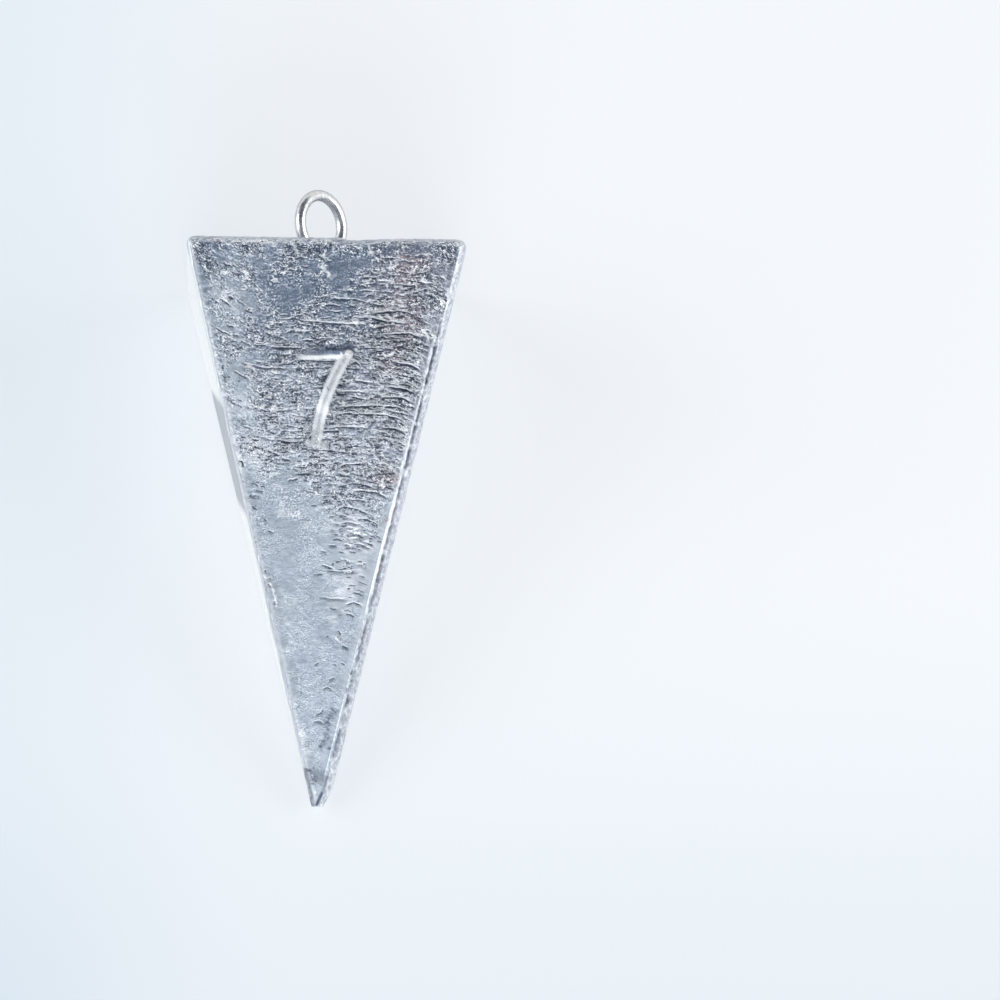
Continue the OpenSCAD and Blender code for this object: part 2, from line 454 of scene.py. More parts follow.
# %% Points as arrays
lead = bpy.data.meshes.new("lead_casting")
casting.to_mesh(lead)
casting.free()
count = len(lead.vertices)
sharp = np.empty(count * 3, np.float32)
lead.vertices.foreach_get("co", sharp)
sharp = sharp.reshape(-1, 3).astype(float)
face_side = np.empty(len(lead.polygons), np.int32)
lead.attributes["side"].data.foreach_get("value", face_side)


TOUCHING = 1e-3


def on_side(name):
    """Which points lie on a side of the sharp blank."""
    return np.abs(sharp @ NORMALS[name] - SIDES[name][1]) < TOUCHING


def smooth(value, start, end):
    """0 before start, 1 after end, and a soft step between, in either direction."""
    way = np.clip((value - start) / (end - start), 0, 1)
    return way * way * (3 - 2 * way)


def bell(distance, reach):
    """1 in the middle, and fading softly to both sides."""
    return np.exp(-((distance / reach) ** 2))


def spot(u, w, centre_u, centre_w, reach_u, reach_w):
    """A soft round spot, 1 in its middle."""
    return np.exp(-(((u - centre_u) / reach_u) ** 2) - ((w - centre_w) / reach_w) ** 2)


def profile(distance, stops):
    """Height along a profile given as (distance, height) stops."""
    where, height = zip(*stops)
    return np.interp(distance, where, height)


SEED_STRIDE = (7.31, 3.17, 5.53)
SOFTNESS, FINER = 0.8, 2.0


def clouds(points, size, seed, octaves=3):
    """Soft noise of about this size in millimetres, from about -1 to 1."""
    shift = Vector([seed * stride for stride in SEED_STRIDE])
    return np.array(
        [noise.fractal(Vector(p) / size + shift, SOFTNESS, FINER, octaves) for p in points]
    )


across, along = side_axes("numbered")
numbered = on_side("numbered")
at_seam = numbered | on_side("front_seam")
on_front = numbered | on_side("front_band")
u = sharp @ np.array(across)
w = top_end - sharp @ np.array(along)
from_right = half_at(w * COS) - u
from_left = half_at(w * COS) + u


def mottle(size, seed, octaves=3, finer_u=1, finer_w=1):
    """Soft noise in the plane of the numbered face, finer across or along it."""
    return clouds(np.c_[u * finer_u, w * finer_w, w * 0], size, seed, octaves)


def nudged(size, amount, seed):
    """The same places nudged by noise, so that nothing drawn there keeps a clean outline."""
    moved, flat = [u.copy(), w.copy()], np.c_[u, w, w * 0][numbered]
    for k, places in enumerate(moved):
        places[numbered] += amount * clouds(flat, size, seed + k)
    return moved


print("points on the numbered face:", int(numbered.sum()))

# %% [markdown]
# ## Soft edges
# Lead has no knife edges. Pulling every point on to a ball rolled inside the blank rounds all the
# edges alike. A small ball serves the long edges and the rim's own ball rounds the base, and
# between the two the corners at the base come out blunt, as they do when a sinker has knocked
# about.


# %% Roll a ball inside the blank
def rounded(points, radius, names, turns=25):
    """Points of the sharp blank pulled on to the surface that a ball of this radius leaves."""
    core = points.copy()
    pushes = {name: np.zeros_like(points) for name in names}
    for _ in range(turns):
        for name in names:
            normal, reach = NORMALS[name], SIDES[name][1] - radius
            moved = core + pushes[name]
            core = moved - np.maximum(moved @ normal - reach, 0)[:, None] * normal
            pushes[name] = moved - core
    away = points - core
    return core + away * (radius / np.linalg.norm(away, axis=1))[:, None]


EDGE_RADIUS = 0.14
# Heights of the rim's zone, of where its ball starts to take over, and of where it works alone
RIM_ZONE, BALLS_MEET, RIM_BALL_ALONE = -6, -3.2, -1.0
points = rounded(sharp, EDGE_RADIUS, SIDE_NAMES)
near_base = sharp[:, 2] > RIM_ZONE
rim_ball = rounded(sharp[near_base], RIM_RADIUS, SIDE_NAMES[:-1])
share = smooth(sharp[near_base, 2], BALLS_MEET, RIM_BALL_ALONE)[:, None]
points[near_base] += (rim_ball - points[near_base]) * share
print("largest move:", round(np.abs(points - sharp).max(), 2), "mm")

# %% [markdown]
# ## The numbered face: panel, step and numeral
# The face is a panel sunk a fifth of a millimetre, with a hard step beside the broad bevel and a
# faint one at the parting edge. The numeral is a round-backed ridge, as a cutter leaves it in the
# mould. Heights are added up as one relief, which then pushes the points out along the normal.

# %% Panel and step
PANEL_DEPTH, STROKE_HEIGHT = 0.2, 0.45
BAR_LEFT, BAR_RIGHT, BAR_DROP = -3.2, 2.23, 12.3
STROKE_HALF = 0.56

panel_end = smooth(w, 57.5, 55.5)
worn_lip = smooth(w, 38.2, 39.4) * smooth(w, 50, 47.5)
lip = smooth(w, 8, 12) * (0.65 + 0.35 * smooth(w, 20, 24)) * (1 - 0.5 * worn_lip)
hard_step = profile(
    from_right,
    [(GROOVE_END, 0), (STEP_FOOT, -0.26), (STEP_TOP, -0.24), (LIP_CREST, -0.14), (LIP_FOOT, -0.2)],
)
soft_step = profile(from_right, [(0.3, 0), (1.2, -0.12), (2.2, -PANEL_DEPTH)])
step = soft_step + (hard_step - soft_step) * smooth(w, 7, 11)
lip_height = profile(from_right, [(STEP_TOP, 0), (LIP_CREST, 0.09), (LIP_FOOT, 0)]) * lip
seam_step = profile(from_left, [(SEAM_TOP, 0), (SEAM_FOOT, -0.09), (1.6, -PANEL_DEPTH)])
rim_step = -PANEL_DEPTH * smooth(w, 0.5, 2.4)
panel = np.maximum(np.maximum(step, seam_step), rim_step) * panel_end
relief = panel + lip_height * panel_end


# %% Numeral
def ridge(distance, half_width, height):
    """A round-backed ridge of this half width and height."""
    return height * np.sqrt(np.clip(1 - (distance / half_width) ** 2, 0, 1))


def near_line(u, w, points):
    """Distance from each place to a run of points, how far along it, and on which side."""
    best = np.full(u.shape, 1e9)
    way, side = np.zeros(u.shape), np.zeros(u.shape)
    length = np.cumsum([0] + [math.dist(a, b) for a, b in zip(points, points[1:])])
    for k, (a, b) in enumerate(zip(points, points[1:])):
        du, dw = b[0] - a[0], b[1] - a[1]
        t = np.clip(((u - a[0]) * du + (w - a[1]) * dw) / (du * du + dw * dw), 0, 1)
        off_u, off_w = u - a[0] - t * du, w - a[1] - t * dw
        distance = np.hypot(off_u, off_w)
        closer = distance < best
        best = np.where(closer, distance, best)
        way = np.where(closer, (length[k] + t * (length[k + 1] - length[k])) / length[-1], way)
        side = np.where(closer, np.sign(du * off_w - dw * off_u), side)
    return best, way, side


bar = [(BAR_LEFT, BAR_DROP + 0.12), (BAR_RIGHT, BAR_DROP - 0.1)]
STEM_RADIUS, STEM_TURNS = 21, np.linspace(math.radians(32), math.radians(5), 12)
bow_u = BAR_RIGHT + STEM_RADIUS * math.cos(STEM_TURNS[0])
bow_w = BAR_DROP + STEM_RADIUS * math.sin(STEM_TURNS[0])
stem = [
    (bow_u - STEM_RADIUS * math.cos(turn), bow_w - STEM_RADIUS * math.sin(turn))
    for turn in STEM_TURNS
]
foot_u, foot_w = stem[-1]
serif = [(foot_u - 0.9, foot_w - 0.1), (foot_u + 0.75, foot_w + 0.25)]
print("foot of the stem at", round(foot_u, 2), round(foot_w, 2))

distance, way, side = near_line(u, w, bar)
numeral = ridge(distance, STROKE_HALF, STROKE_HEIGHT) * smooth(way, -0.05, 0.32)
# The flank towards the nose gets a painted highlight, the one towards the wire painted shade, and
# the left end fades out
lower_flank = smooth(distance * side, 0.02, 0.2)
shine = lower_flank * smooth(u, -3.7, -1.9) * (distance < 0.62)
numeral_shade = 0.75 * (1 - lower_flank) * smooth(u, -3.2, -1.0) * (distance < 0.6) * smooth(u, 2.1, 1.95)
# The stem is broader, with a painted highlight on both flanks and a line of painted shade along
# its back
distance, way, side = near_line(u, w, stem)
numeral = np.maximum(numeral, ridge(distance, 1.16 * STROKE_HALF * (1 - 0.1 * way), STROKE_HEIGHT))
across_stem = -distance * side
in_stem = (distance < 0.67) * smooth(way, 0.0, 0.04) > 0.5
STEM_HIGHLIGHT = [(-0.66, 0.9), (-0.5, 1), (-0.34, 1), (-0.22, 0.75), (-0.1, 0.45), (0.06, 0.5),
              (0.22, 0.85), (0.4, 1), (0.6, 0.8)]
stem_highlight = profile(across_stem, STEM_HIGHLIGHT) * (1 - 0.45 * smooth(way, 0.8, 0.95))
stem_shade = 0.9 * bell(across_stem + 0.06, 0.14) * smooth(way, 0.3, 0.45) * smooth(way, 0.9, 0.8)
shine, numeral_shade = np.where(in_stem, stem_highlight, shine), np.where(in_stem, stem_shade, numeral_shade)
# The lead stands proudest where the bar meets the stem, with a painted highlight there and a spot
# of painted shade beside it
corner = STROKE_HEIGHT * 1.15 * spot(u, w, 2.4, 12.25, 0.42, 0.42)
numeral = np.maximum(numeral, corner)
shine = np.maximum(shine, smooth(corner, 0.12, 0.25))
numeral_shade = np.maximum(numeral_shade, 0.8 * spot(u, w, 1.85, 12.38, 0.2, 0.16))
# A small low foot ends the stem, with a weaker painted highlight of its own
distance = near_line(u, w, serif)[0]
numeral = np.maximum(numeral, ridge(distance, 0.38, 0.3)) * numbered
shine = np.maximum(shine, 0.45 * smooth(distance, 0.4, 0.25) * ~in_stem)
on_numeral = smooth(numeral, 0.0, 0.08)
shine, numeral_shade = shine * on_numeral, numeral_shade * on_numeral

# %% [markdown]
# ## Cold-flow wrinkles
# Lead that freezes before the mould is full folds into fine lines across the flow. They crowd to
# the right of the numeral and above it, bend down at the right-hand edge, and thin out towards the
# nose, where the lead ran hottest. Each is a small ridge with a furrow below it. Where they lie
# thick is drawn as soft spots, and a seeded draw scatters them; the boldest are listed one by one.


# %% The way the lead flowed
def dip(u, from_right):
    """How far a flow line has dipped below its height in the middle, at either side."""
    left = np.maximum(-5.5 - u, 0)
    right = np.maximum(3.6 - from_right, 0)
    return 0.12 * right**2 - 0.15 * left**2 / (1 + 0.25 * left)


flow = w - dip(u, from_right)
loose_u, loose_w = nudged(1.3, 0.75, 2)

# %% Where the skin is rough, and where it is pale
# (u, w, reach across, reach along, more wrinkles, more grain, paler)
ZONES = [
    (7.5, 8, 5, 5, 0.85, 0.35, -0.16), (4, 17, 6.5, 6, 0.9, 0.45, -0.04),
    (-4, 10.5, 4, 2.5, 0.6, 0.25, 0), (-3.5, 21.5, 3, 3, 0.35, 0.2, 0),
    (4, 25, 4, 2.4, 0.6, 0.3, -0.06), (2.8, 30, 3.2, 1.8, 0.4, 0.05, 0),
    (3.5, 16, 6.5, 6, 0, 0.12, 0.05), (-9.5, 14, 3.5, 8, 0, -0.2, 0),
    (0, 21.5, 3.5, 3, 0, 0.1, 0.26), (3.6, 31.5, 3, 5, 0, -0.3, 0.27),
    (-9.5, 2, 4.5, 1.6, 0, 0.1, 0.14), (-9, 5.5, 4.5, 4.5, 0, -0.3, 0),
    (-10.4, 6.8, 1.9, 1.8, 0, 0.1, 0.4), (-6.5, 3, 4, 2.2, 0, 0.15, 0.04),
    (-4.2, 6.6, 2.3, 2.4, -0.3, -0.35, -0.25), (-12, 2.2, 1.7, 1.9, 0, 0.1, -0.4),
    (1.5, 4, 3.6, 1.9, -0.2, -0.38, -0.08), (5.5, 3, 4, 1, -0.3, -0.45, 0),
    (4, 9.5, 2, 2, 0, 0.2, -0.14), (-2, 1.6, 2.5, 0.6, 0, 0.1, -0.35),
    (7.8, 1.5, 3.4, 0.6, 0, 0.1, -0.4), (0.9, 11.5, 1.7, 0.3, 0, 0.3, -0.5),
    (-9.3, 16.5, 0.9, 3.5, 0, -0.35, 0.10), (4.3, 24.8, 0.9, 0.5, 0, -0.3, 0.3),
    (2, 25.9, 1.1, 0.3, 0, 0.4, -0.5), (6.9, 25.8, 0.4, 0.2, 0, 0.3, -0.6),
    (1.1, 51, 0.5, 1.6, 0, 0.3, -0.15), (-1.3, 56.5, 0.3, 0.9, 0, 0.5, -0.8),
    (-0.7, 58.2, 0.3, 0.8, 0, -0.4, 0.6), (-5.5, 26.5, 1.5, 1.5, 0, -0.2, -0.05),
]
# (u, w, reach across, reach along, paler)
PALER = [
    (4.5, 8, 6, 1.8, -0.26), (8, 12.5, 2.4, 1.6, -0.55), (5.6, 22, 2.6, 1.4, -0.28),
    (-8.5, 19.5, 2, 4, 0.3), (-12.2, 5.5, 1.2, 2.6, 0.3), (-4.2, 44, 1, 4, 0.25),
    (2.6, 36.5, 1.2, 2, 0.25), (-6.5, 22.5, 3.5, 2.5, 0.16), (4, 15.5, 5, 2, -0.12),
    (-5.5, 20, 3.5, 7, 0.12), (-10, 8, 2.6, 7, 0.5), (-12.4, 6.5, 0.35, 2, -0.45),
    (0.5, 8.5, 2.5, 2.6, -0.16), (12.2, 3.2, 1, 2.2, -0.35), (-5.2, 12.9, 1.6, 0.8, -0.25),
    (-8, 18, 1.5, 1.5, 0.18), (8.5, 21, 1.2, 1.6, 0.25), (-1.1, 21.8, 0.8, 0.25, 0.4),
    (-2, 52, 0.8, 2, 0.25), (8.6, 19.8, 1.6, 2, 0.5), (-5.5, 18.8, 1.6, 2.5, 0.14),
    (3, 24, 3.5, 1.2, 0.14), (-7.5, 36, 2, 6, -0.1), (0, 22.5, 2.2, 2, 0.12),
    (2.8, 12.8, 1.4, 0.8, 0.2), (7.4, 24.8, 1.4, 1.2, 0.2), (-12, 1, 1.8, 0.8, -0.4),
    (9.5, 5, 3, 3.5, -0.14), (9.2, 13.2, 1.2, 1, -0.25), (7, 0.9, 2.2, 0.6, -0.35),
]
grainy = 0.3 + 0.62 * smooth(w, 34, 18) + 0.25 * smooth(w, 2.5, 1.0)
# Painted light: the face is paler towards the nose, where it takes more light, and on the rim's
# rounding; the spots and the noise below vary its tone at random
pale = 0.10 + 0.80 * smooth(w, 2, 34) ** 0.8
pale += (0.62 + 0.35 * smooth(u, 1, -1)) * smooth(w, 1.25, 0.65)
for *place, _, more_grain, paler in ZONES:
    here = spot(loose_u, loose_w, *place)
    grainy += more_grain * here
    pale += paler * here
for *place, paler in PALER:
    pale += paler * spot(loose_u, loose_w, *place)
grainy += 0.2 * smooth(u, -1, 2) * smooth(w, 8, 12) * smooth(w, 31, 27)
grainy += 0.14 * smooth(u, -1, -3) * smooth(w, 9, 12) * smooth(w, 24, 21)
grainy -= 0.12 * smooth(u, -2, -4) * smooth(w, 22, 26)
grainy -= 0.1 * smooth(w, 34, 38) * smooth(u, -3, -1)
grainy = np.clip(grainy, 0.06, 1.6)
pale += 0.16 * mottle(3.2, 2)
pale += (0.1 + 0.14 * smooth(w, 30, 40)) * mottle(0.8, 5, finer_w=1.6)


# %% Draw one wrinkle
def wrinkle(line, height, width, furrow, dark, light, fine=1.0, first=0.0):
    """Adds a ridge along a run of points with a furrow below it, marks how far off it is, and
    marks painted shade in the furrow and a painted highlight on the ridge.
    """
    (low_u, low_w), (high_u, high_w) = np.min(line, axis=0), np.max(line, axis=0)
    reach = 4 * width
    near = numbered & (u > low_u - reach) & (u < high_u + reach)
    near &= (w > low_w - reach) & (w < high_w + reach)
    if not near.any():
        return
    distance, way, side = near_line(wavy_u[near], wavy_w[near], line)
    ends = smooth(way, 0, 0.2) * smooth(way, 1, 0.75)
    up = bell(distance, width) * ends
    below = bell(distance * side - 1.8 * width, width) * ends
    wrinkles[near] += height * (up - furrow * below)
    distance = distance * fine
    strength = ends * smooth(distance, 0.34, 0.2)
    closer = distance < np.maximum(np.abs(line_at[near]), first)
    for drawn, value in (
        (line_at, distance * np.where(side == 0, 1, side)),
        (line_shade, dark * strength),
        (line_highlight, light * strength),
    ):
        drawn[near] = np.where(closer, value, drawn[near])


def bowed(start, end, sag, shake):
    """Points from start to end with a sag between, shaken a little."""
    du, dw = end[0] - start[0], end[1] - start[1]
    run = math.hypot(du, dw)
    line = []
    for t in np.linspace(0, 1, 8):
        lift = sag * 4 * t * (1 - t) + draw.gauss(0, shake)
        line.append((start[0] + du * t - dw / run * lift, start[1] + dw * t + du / run * lift))
    return line


def along_flow(start_u, start_w, length, tilt):
    """Where a line from here ends, if it follows the flow."""
    half_here = half_at(start_w * COS)
    dips = [dip(x, half_here - x) for x in (start_u, start_u + length)]
    return start_u + length, start_w + tilt * length + dips[1] - dips[0]


wrinkles, line_shade, line_highlight = np.zeros(count), np.zeros(count), np.zeros(count)
line_at = np.full(count, 0.5)
wavy_u, wavy_w = nudged(0.5, 0.07, 17)
draw = random.Random(11)
TRIES = 6000
made = 0
for _ in range(TRIES):
    at_w = draw.uniform(1.8, 26)
    half_here = half_at(at_w * COS)
    at_u = draw.uniform(-1, 1) * half_here
    length, tilt = 0.35 + draw.expovariate(1.2), draw.gauss(0, 0.12)
    height, width = draw.uniform(0.02, 0.055), draw.uniform(0.065, 0.1)
    sag, chance = draw.gauss(0, 0.06), draw.random()
    level = (0.16 if at_u > -6 else 0.04) * (at_w < 23) + sum(
        zone[4] * spot(at_u, at_w, *zone[:4]) for zone in ZONES
    )
    room = half_here - 1.3 - at_u
    if chance > 0.34 * level or room < 0.3 or half_here + at_u < 0.6:
        continue
    line = bowed((at_u, at_w), along_flow(at_u, at_w, min(length, room), tilt), sag, 0.04)
    wrinkle(line, 0.8 * height, width, 1.2, 0.4 + 11 * height, 0.1 + 12 * height, 1.15)
    made += 1
print("wrinkles drawn:", made)

# %% Short arched creases towards the nose
# (u, w, reach across, reach along, how many)
CREASED = [
    (3, 24.5, 3.2, 1.6, 70), (2.6, 28, 2.6, 1.6, 70), (3.2, 31.2, 2, 1.2, 80),
    (2.2, 34.3, 1.8, 0.9, 26), (3.4, 37, 1.2, 1, 12), (0.8, 27, 1, 2.5, 14),
    (-1.8, 24.3, 1.2, 0.8, 12), (-7.6, 27.2, 0.7, 2.2, 16), (-4.5, 15.5, 3.2, 2, 40),
    (-4, 22.6, 2.8, 1.2, 26), (0.8, 40, 3, 3, 5), (0.6, 46, 1.6, 3, 3),
    (3, 30.4, 2.2, 0.7, 40),
]
for centre_u, centre_w, reach_u, reach_w, how_many in CREASED:
    for _ in range(how_many):
        at_u, at_w = draw.gauss(centre_u, reach_u / 1.6), draw.gauss(centre_w, reach_w / 1.6)
        length, depth = draw.uniform(0.3, 1.3), draw.uniform(0.02, 0.05)
        width, sag = draw.uniform(0.06, 0.09), -draw.uniform(0.03, 0.14) * length
        end = along_flow(at_u, at_w, length, draw.gauss(0.02, 0.14))
        if half_at(end[1] * COS) - end[0] < 1.2 or half_at(at_w * COS) + at_u < 0.5:
            continue
        line = bowed((at_u, at_w), end, sag, 0.02)
        wrinkle(line, 0.12 * depth, width, 4.0, 0.5 + 10 * depth, 0.12, 1.3)

# %% The boldest lines, listed one by one
# Raised lines with a dark furrow below: (how dark its painted shade, how light its painted
# highlight, and u, w of each place along it)
RAISED = [
    (1, 1, 0.7, 17.8, 2.6, 17.7, 5.4, 17.55, 7.7, 17.7, 9.1, 18.5),
    (1, 1, 0.6, 18.6, 2.6, 18.4, 6, 18.5, 7.5, 18.8, 8.8, 19.5),
    (0.9, 0.8, 1, 16.2, 3.4, 16.1, 4.6, 16.3), (0.9, 0.8, 0.4, 19.9, 2.8, 19.8, 4.8, 19.9),
    (1, 0.8, 4.5, 8, 7.4, 7.7, 9.6, 8.1), (1, 0.9, 5.5, 10.2, 8.6, 10, 10.4, 10.6),
    (1, 0.8, 6.2, 15.6, 8.4, 15.8, 9.6, 16.4), (1, 0.9, 5.8, 16.7, 8, 16.7, 9.3, 17.3),
    (0.9, 0.9, 5.8, 19.85, 7.2, 19.9, 8.6, 20.3), (1, 0.9, 7, 13, 9, 13.3, 10.2, 14.1),
    (0.9, 0.9, 3, 15, 5, 15.2), (0.4, 0.9, 5.2, 4.65, 7, 4.6),
    (0.5, 0.9, 9.4, 4.6, 11.3, 4.9), (0.8, 0.3, 3.6, 4.2, 5.6, 4.3),
    (0.8, 0.4, 6.2, 4.95, 9.5, 5.05), (0.9, 0.5, 0.1, 6.5, 3, 6.55, 4.6, 7),
    (0.7, 0.9, -3, 8.8, 2, 9.1, 4.5, 9.05),
    (1, 0.8, 2.4, 8.4, 4.8, 8.45, 6.5, 8.85, 9, 9), (0.9, 0.6, -6, 11.6, -2.5, 11.7),
    (0.8, 0.6, -9, 13.2, -6.2, 13.8, -3.5, 13.8), (0.9, 0.4, -1.7, 12.98, 1.2, 12.98),
    (0.9, 0.8, 2.5, 13.35, 3.1, 13, 3.7, 13.5), (1, 0.5, -5.2, 21.2, -3.8, 21.4, -2.3, 21.45),
    (0.8, 0.5, -7.4, 21.9, -6.4, 22.2), (0.8, 0.5, -6.2, 22.2, -5.2, 22.6, -4.5, 22.9),
    (0.9, 0.6, -4.5, 23.1, -3.3, 23.35), (1, 0.6, 1.3, 24.1, 2.3, 23.7, 4.5, 23.6),
    (0.2, 1, 5.5, 23.6, 6.5, 23.7, 7.2, 24.2),
    (0.9, 1, 2.9, 26.5, 4, 26.45, 5.5, 26.6, 7, 27.3),
]
# Furrows alone: (how dark their painted shade, and u, w of each place along it)
FURROWS = [
    (1, -2.7, 24.05, -1.7, 24.1), (1, -3.1, 24.8, -1, 24.7), (0.9, -1, 22.9, 0.6, 22.9),
    (0.8, 0.1, 25.2, 1, 25.4), (1, -8.95, 23.4, -8.5, 23.5, -8.2, 24.2),
    (1, -7.45, 28.1, -6.85, 28.45), (0.9, -6.3, 29.1, -5.9, 29.3),
    (0.9, -6.1, 29.5, -5.8, 29.75), (0.9, -5.8, 30.7, -5.1, 30.9), (0.8, 2.6, 27.4, 4.5, 27.5),
    (1, 1, 28.7, 2.2, 28.1, 3.5, 28.4, 5.2, 29.1), (0.9, 1.6, 28.9, 2.8, 29.3),
    (1, 3.4, 29.4, 4.6, 29.4, 6, 30.1), (0.9, 0.5, 32.2, 1.5, 32.1),
    (0.9, 2.2, 32, 3.2, 32.3), (0.9, 3.5, 31.9, 4.4, 32.2, 5.2, 32.7),
    (0.8, -0.3, 32.75, 0.5, 32.9), (1, -0.2, 34.2, 0.6, 34.4, 1.4, 34.75),
    (0.9, 0.3, 34.8, 2.4, 34.95, 4, 34.65), (0.7, -0.5, 37.5, 1.2, 37.75, 2.6, 37.8),
    (1, 2.3, 38.4, 3.3, 38.1, 4.3, 38.5), (0.9, 1.7, 41, 2.1, 41.5),
    (0.9, 2.1, 42.6, 2.9, 43), (0.7, -0.8, 44.7, -0.3, 44.3), (0.8, 0.7, 46.3, 1.4, 45.9),
    (0.8, 0, 47.3, 0.6, 47, 1.3, 47.3), (0.8, -0.7, 50, -0.1, 49.7, 0.3, 49.2),
    (0.8, -0.9, 50.7, -0.2, 50.6, 0.4, 50.8), (0.9, 1.4, 26, 3, 25.7, 4.6, 25.9, 5.8, 26.5),
    (0.8, 2.2, 31, 3.4, 30.9, 4.6, 31.4), (0.8, 1.4, 29.9, 2.6, 29.7, 3.8, 30, 4.9, 30.6),
    (1, -6, 34.8, -5.8, 35), (1, -5.7, 35.6, -5.3, 35.7), (1, -5.7, 36.2, -5.2, 36.5),
    (1, -4.83, 38, -4.78, 38.4),
]
PRIORITY, LINE_WIDTH = 0.16, 0.09


def pairs(numbers):
    """Places from a flat list of their u and w."""
    return list(zip(numbers[::2], numbers[1::2]))


for dark, light, *line in RAISED:
    wrinkle(pairs(line), 0.05, LINE_WIDTH, 1.3, dark, light, 0.9, PRIORITY)
for dark, *line in FURROWS:
    wrinkle(pairs(line), 0.014, LINE_WIDTH, 4.0, dark, 0.3, 1.1, PRIORITY)

# %% Grain between the wrinkles
GRAIN_HEIGHT, SWELL_HEIGHT = 0.045, 0.025
grain = np.zeros(count)
leather = clouds(np.c_[u, flow * 1.5, w * 0][numbered], 0.55, 3, 2)
grain[numbered] = GRAIN_HEIGHT * np.minimum(grainy[numbered], 1.15) * leather
wrinkles *= 1 - 0.85 * on_numeral
grain *= 1 - 0.7 * on_numeral
relief += numeral + wrinkles + grain
relief[numbered] += SWELL_HEIGHT * clouds(np.c_[u, w, w * 0][numbered], 4.5, 9, 2)

# %% [markdown]
# ## Worn edges, painted highlights and painted shade in the steps
# Handling rubs the lead bright along every edge, and painted highlights join that wear on the
# seam's edge, the lip and a few marks on the face, while the steps get painted shade. Both are
# masks on the
# points: how near the next side is gives the wear, and the step beside the bevel gets its painted
# shade in dashes.


# %% Wear, and a painted highlight along the seam's edge
def share_of(value):
    """Keeps a mask between nothing and all."""
    return np.clip(value, 0, 1)


gaps = np.array([reach - sharp @ NORMALS[name] for name, (_, reach) in SIDES.items()])
to_edge = np.sort(gaps, axis=0)[1]
patchy = clouds(sharp, 1.1, 14)
wear_and_highlight = bell(to_edge, 0.12) * share_of(0.65 + 0.9 * patchy)
wear_and_highlight *= 1 - 0.75 * (numbered & (from_right < 1.5))
wear_and_highlight *= 1 - smooth(from_left, 0.06, 0.16) * at_seam
# A painted highlight along the seam's edge
seam_highlight = smooth(from_left, 0.22, 0.1) * at_seam
wear_and_highlight = np.maximum(wear_and_highlight, 0.95 * seam_highlight * smooth(w, 19, 17))
rim_flecks = share_of(0.15 + 1.5 * clouds(sharp, 0.5, 33)) * smooth(sharp[:, 2], -0.95, -0.35)
wear_and_highlight = np.maximum(wear_and_highlight, 0.85 * rim_flecks * smooth(sharp[:, 1], -13.4, -14.2))

# %% Painted shade in the step, and a painted highlight on the lip beside it
# (from w, to w, how dark)
DASHES = [
    (9.2, 10.4, 0.5), (11.2, 15.4, 1), (17.4, 19.1, 0.95), (19.5, 21.6, 0.85), (22.2, 24, 1),
    (25.2, 27.4, 0.8), (27.8, 32.6, 0.75), (33.3, 36.3, 0.95), (36.4, 39.2, 0.7),
    (39.7, 42, 0.75), (42, 44.6, 0.7), (45.2, 46.2, 0.6), (46.8, 47.4, 0.5), (48.2, 49.3, 1),
    (50, 51, 0.6), (51.5, 54.4, 0.85),
]
ragged_w = w + 0.35 * mottle(0.9, 21, 2, finer_w=0.7)
dash = np.zeros(count)
for start_w, end_w, darkness in DASHES:
    inside_dash = smooth(ragged_w, start_w - 0.15, start_w + 0.15)
    dash = np.maximum(dash, darkness * inside_dash * smooth(ragged_w, end_w + 0.15, end_w - 0.15))
ragged_right = from_right + 0.07 * mottle(0.6, 23, finer_w=0.6)
# Painted shade on the step's wall and in its groove, broken into the dashes above
in_step = profile(
    ragged_right, [(0.36, 0), (0.46, 0.35), (0.56, 0.85), (0.66, 1), (0.84, 1), (0.92, 0)]
)
mottled = np.clip(0.85 + 0.5 * mottle(0.45, 27, 2, finer_u=2), 0.35, 1)
shade_and_dark_marks = in_step * dash * mottled * on_front
on_lip = profile(ragged_right, [(0.86, 0), (0.93, 1), (1.01, 1), (1.12, 0)]) * numbered
broken = (1.1 + 0.6 * smooth(w, 37, 40)) * mottle(1.1, 25, 2)
broken = share_of(0.6 + 0.6 * smooth(w, 38, 35) + broken)
# A painted highlight along the lip's crest, broken up and weaker where the lip is worn
lip_highlight = 0.6 + 0.45 * spot(w, 0, 32.5, 0, 6.5, 1) - 0.25 * worn_lip
wear_and_highlight = np.maximum(wear_and_highlight, on_lip * smooth(w, 9, 12) * lip_highlight * broken * panel_end)
# Paler beside the bevel's step and by the corner near the rim; beside the seam the face is painted
# paler still, as painted light over the shade of the seam's step
beside_band = smooth(ragged_right, 2.1, 1.25) * numbered * smooth(w, 7, 11)
near_corner = smooth(ragged_right, 2.9, 0.8) * numbered * smooth(w, 2, 3.5) * smooth(w, 11, 8)
beside_seam = smooth(from_left, 0.9, 0.4) * numbered
for how_pale, here in (
    (1.0 + 0.12 * smooth(w, 17, 22) * smooth(w, 54, 44), 0.95 * beside_band),
    (1.05, 0.9 * near_corner),
    (1.22, beside_seam),
):
    pale = pale + (how_pale - pale) * here
grainy = grainy * (1 - 0.6 * np.maximum(beside_band, beside_seam))
# A line of painted shade along the foot of the seam's step
seam_foot_shade = bell(from_left - 0.24, 0.1) * at_seam * smooth(from_left, 0.08, 0.16)
shade_and_dark_marks = np.maximum(shade_and_dark_marks, 0.28 * seam_foot_shade * share_of(0.75 + 0.6 * patchy))
# Specks of painted shade in the step beside the worn stretch of the lip
worn_step_shade = smooth(ragged_right, 1.2, 1.05) * smooth(ragged_right, 0.6, 0.75) * worn_lip * numbered
specks = share_of(0.25 + 1.7 * mottle(0.5, 35, 2, finer_u=1.5))
shade_and_dark_marks = np.maximum(shade_and_dark_marks, 0.8 * worn_step_shade * specks)

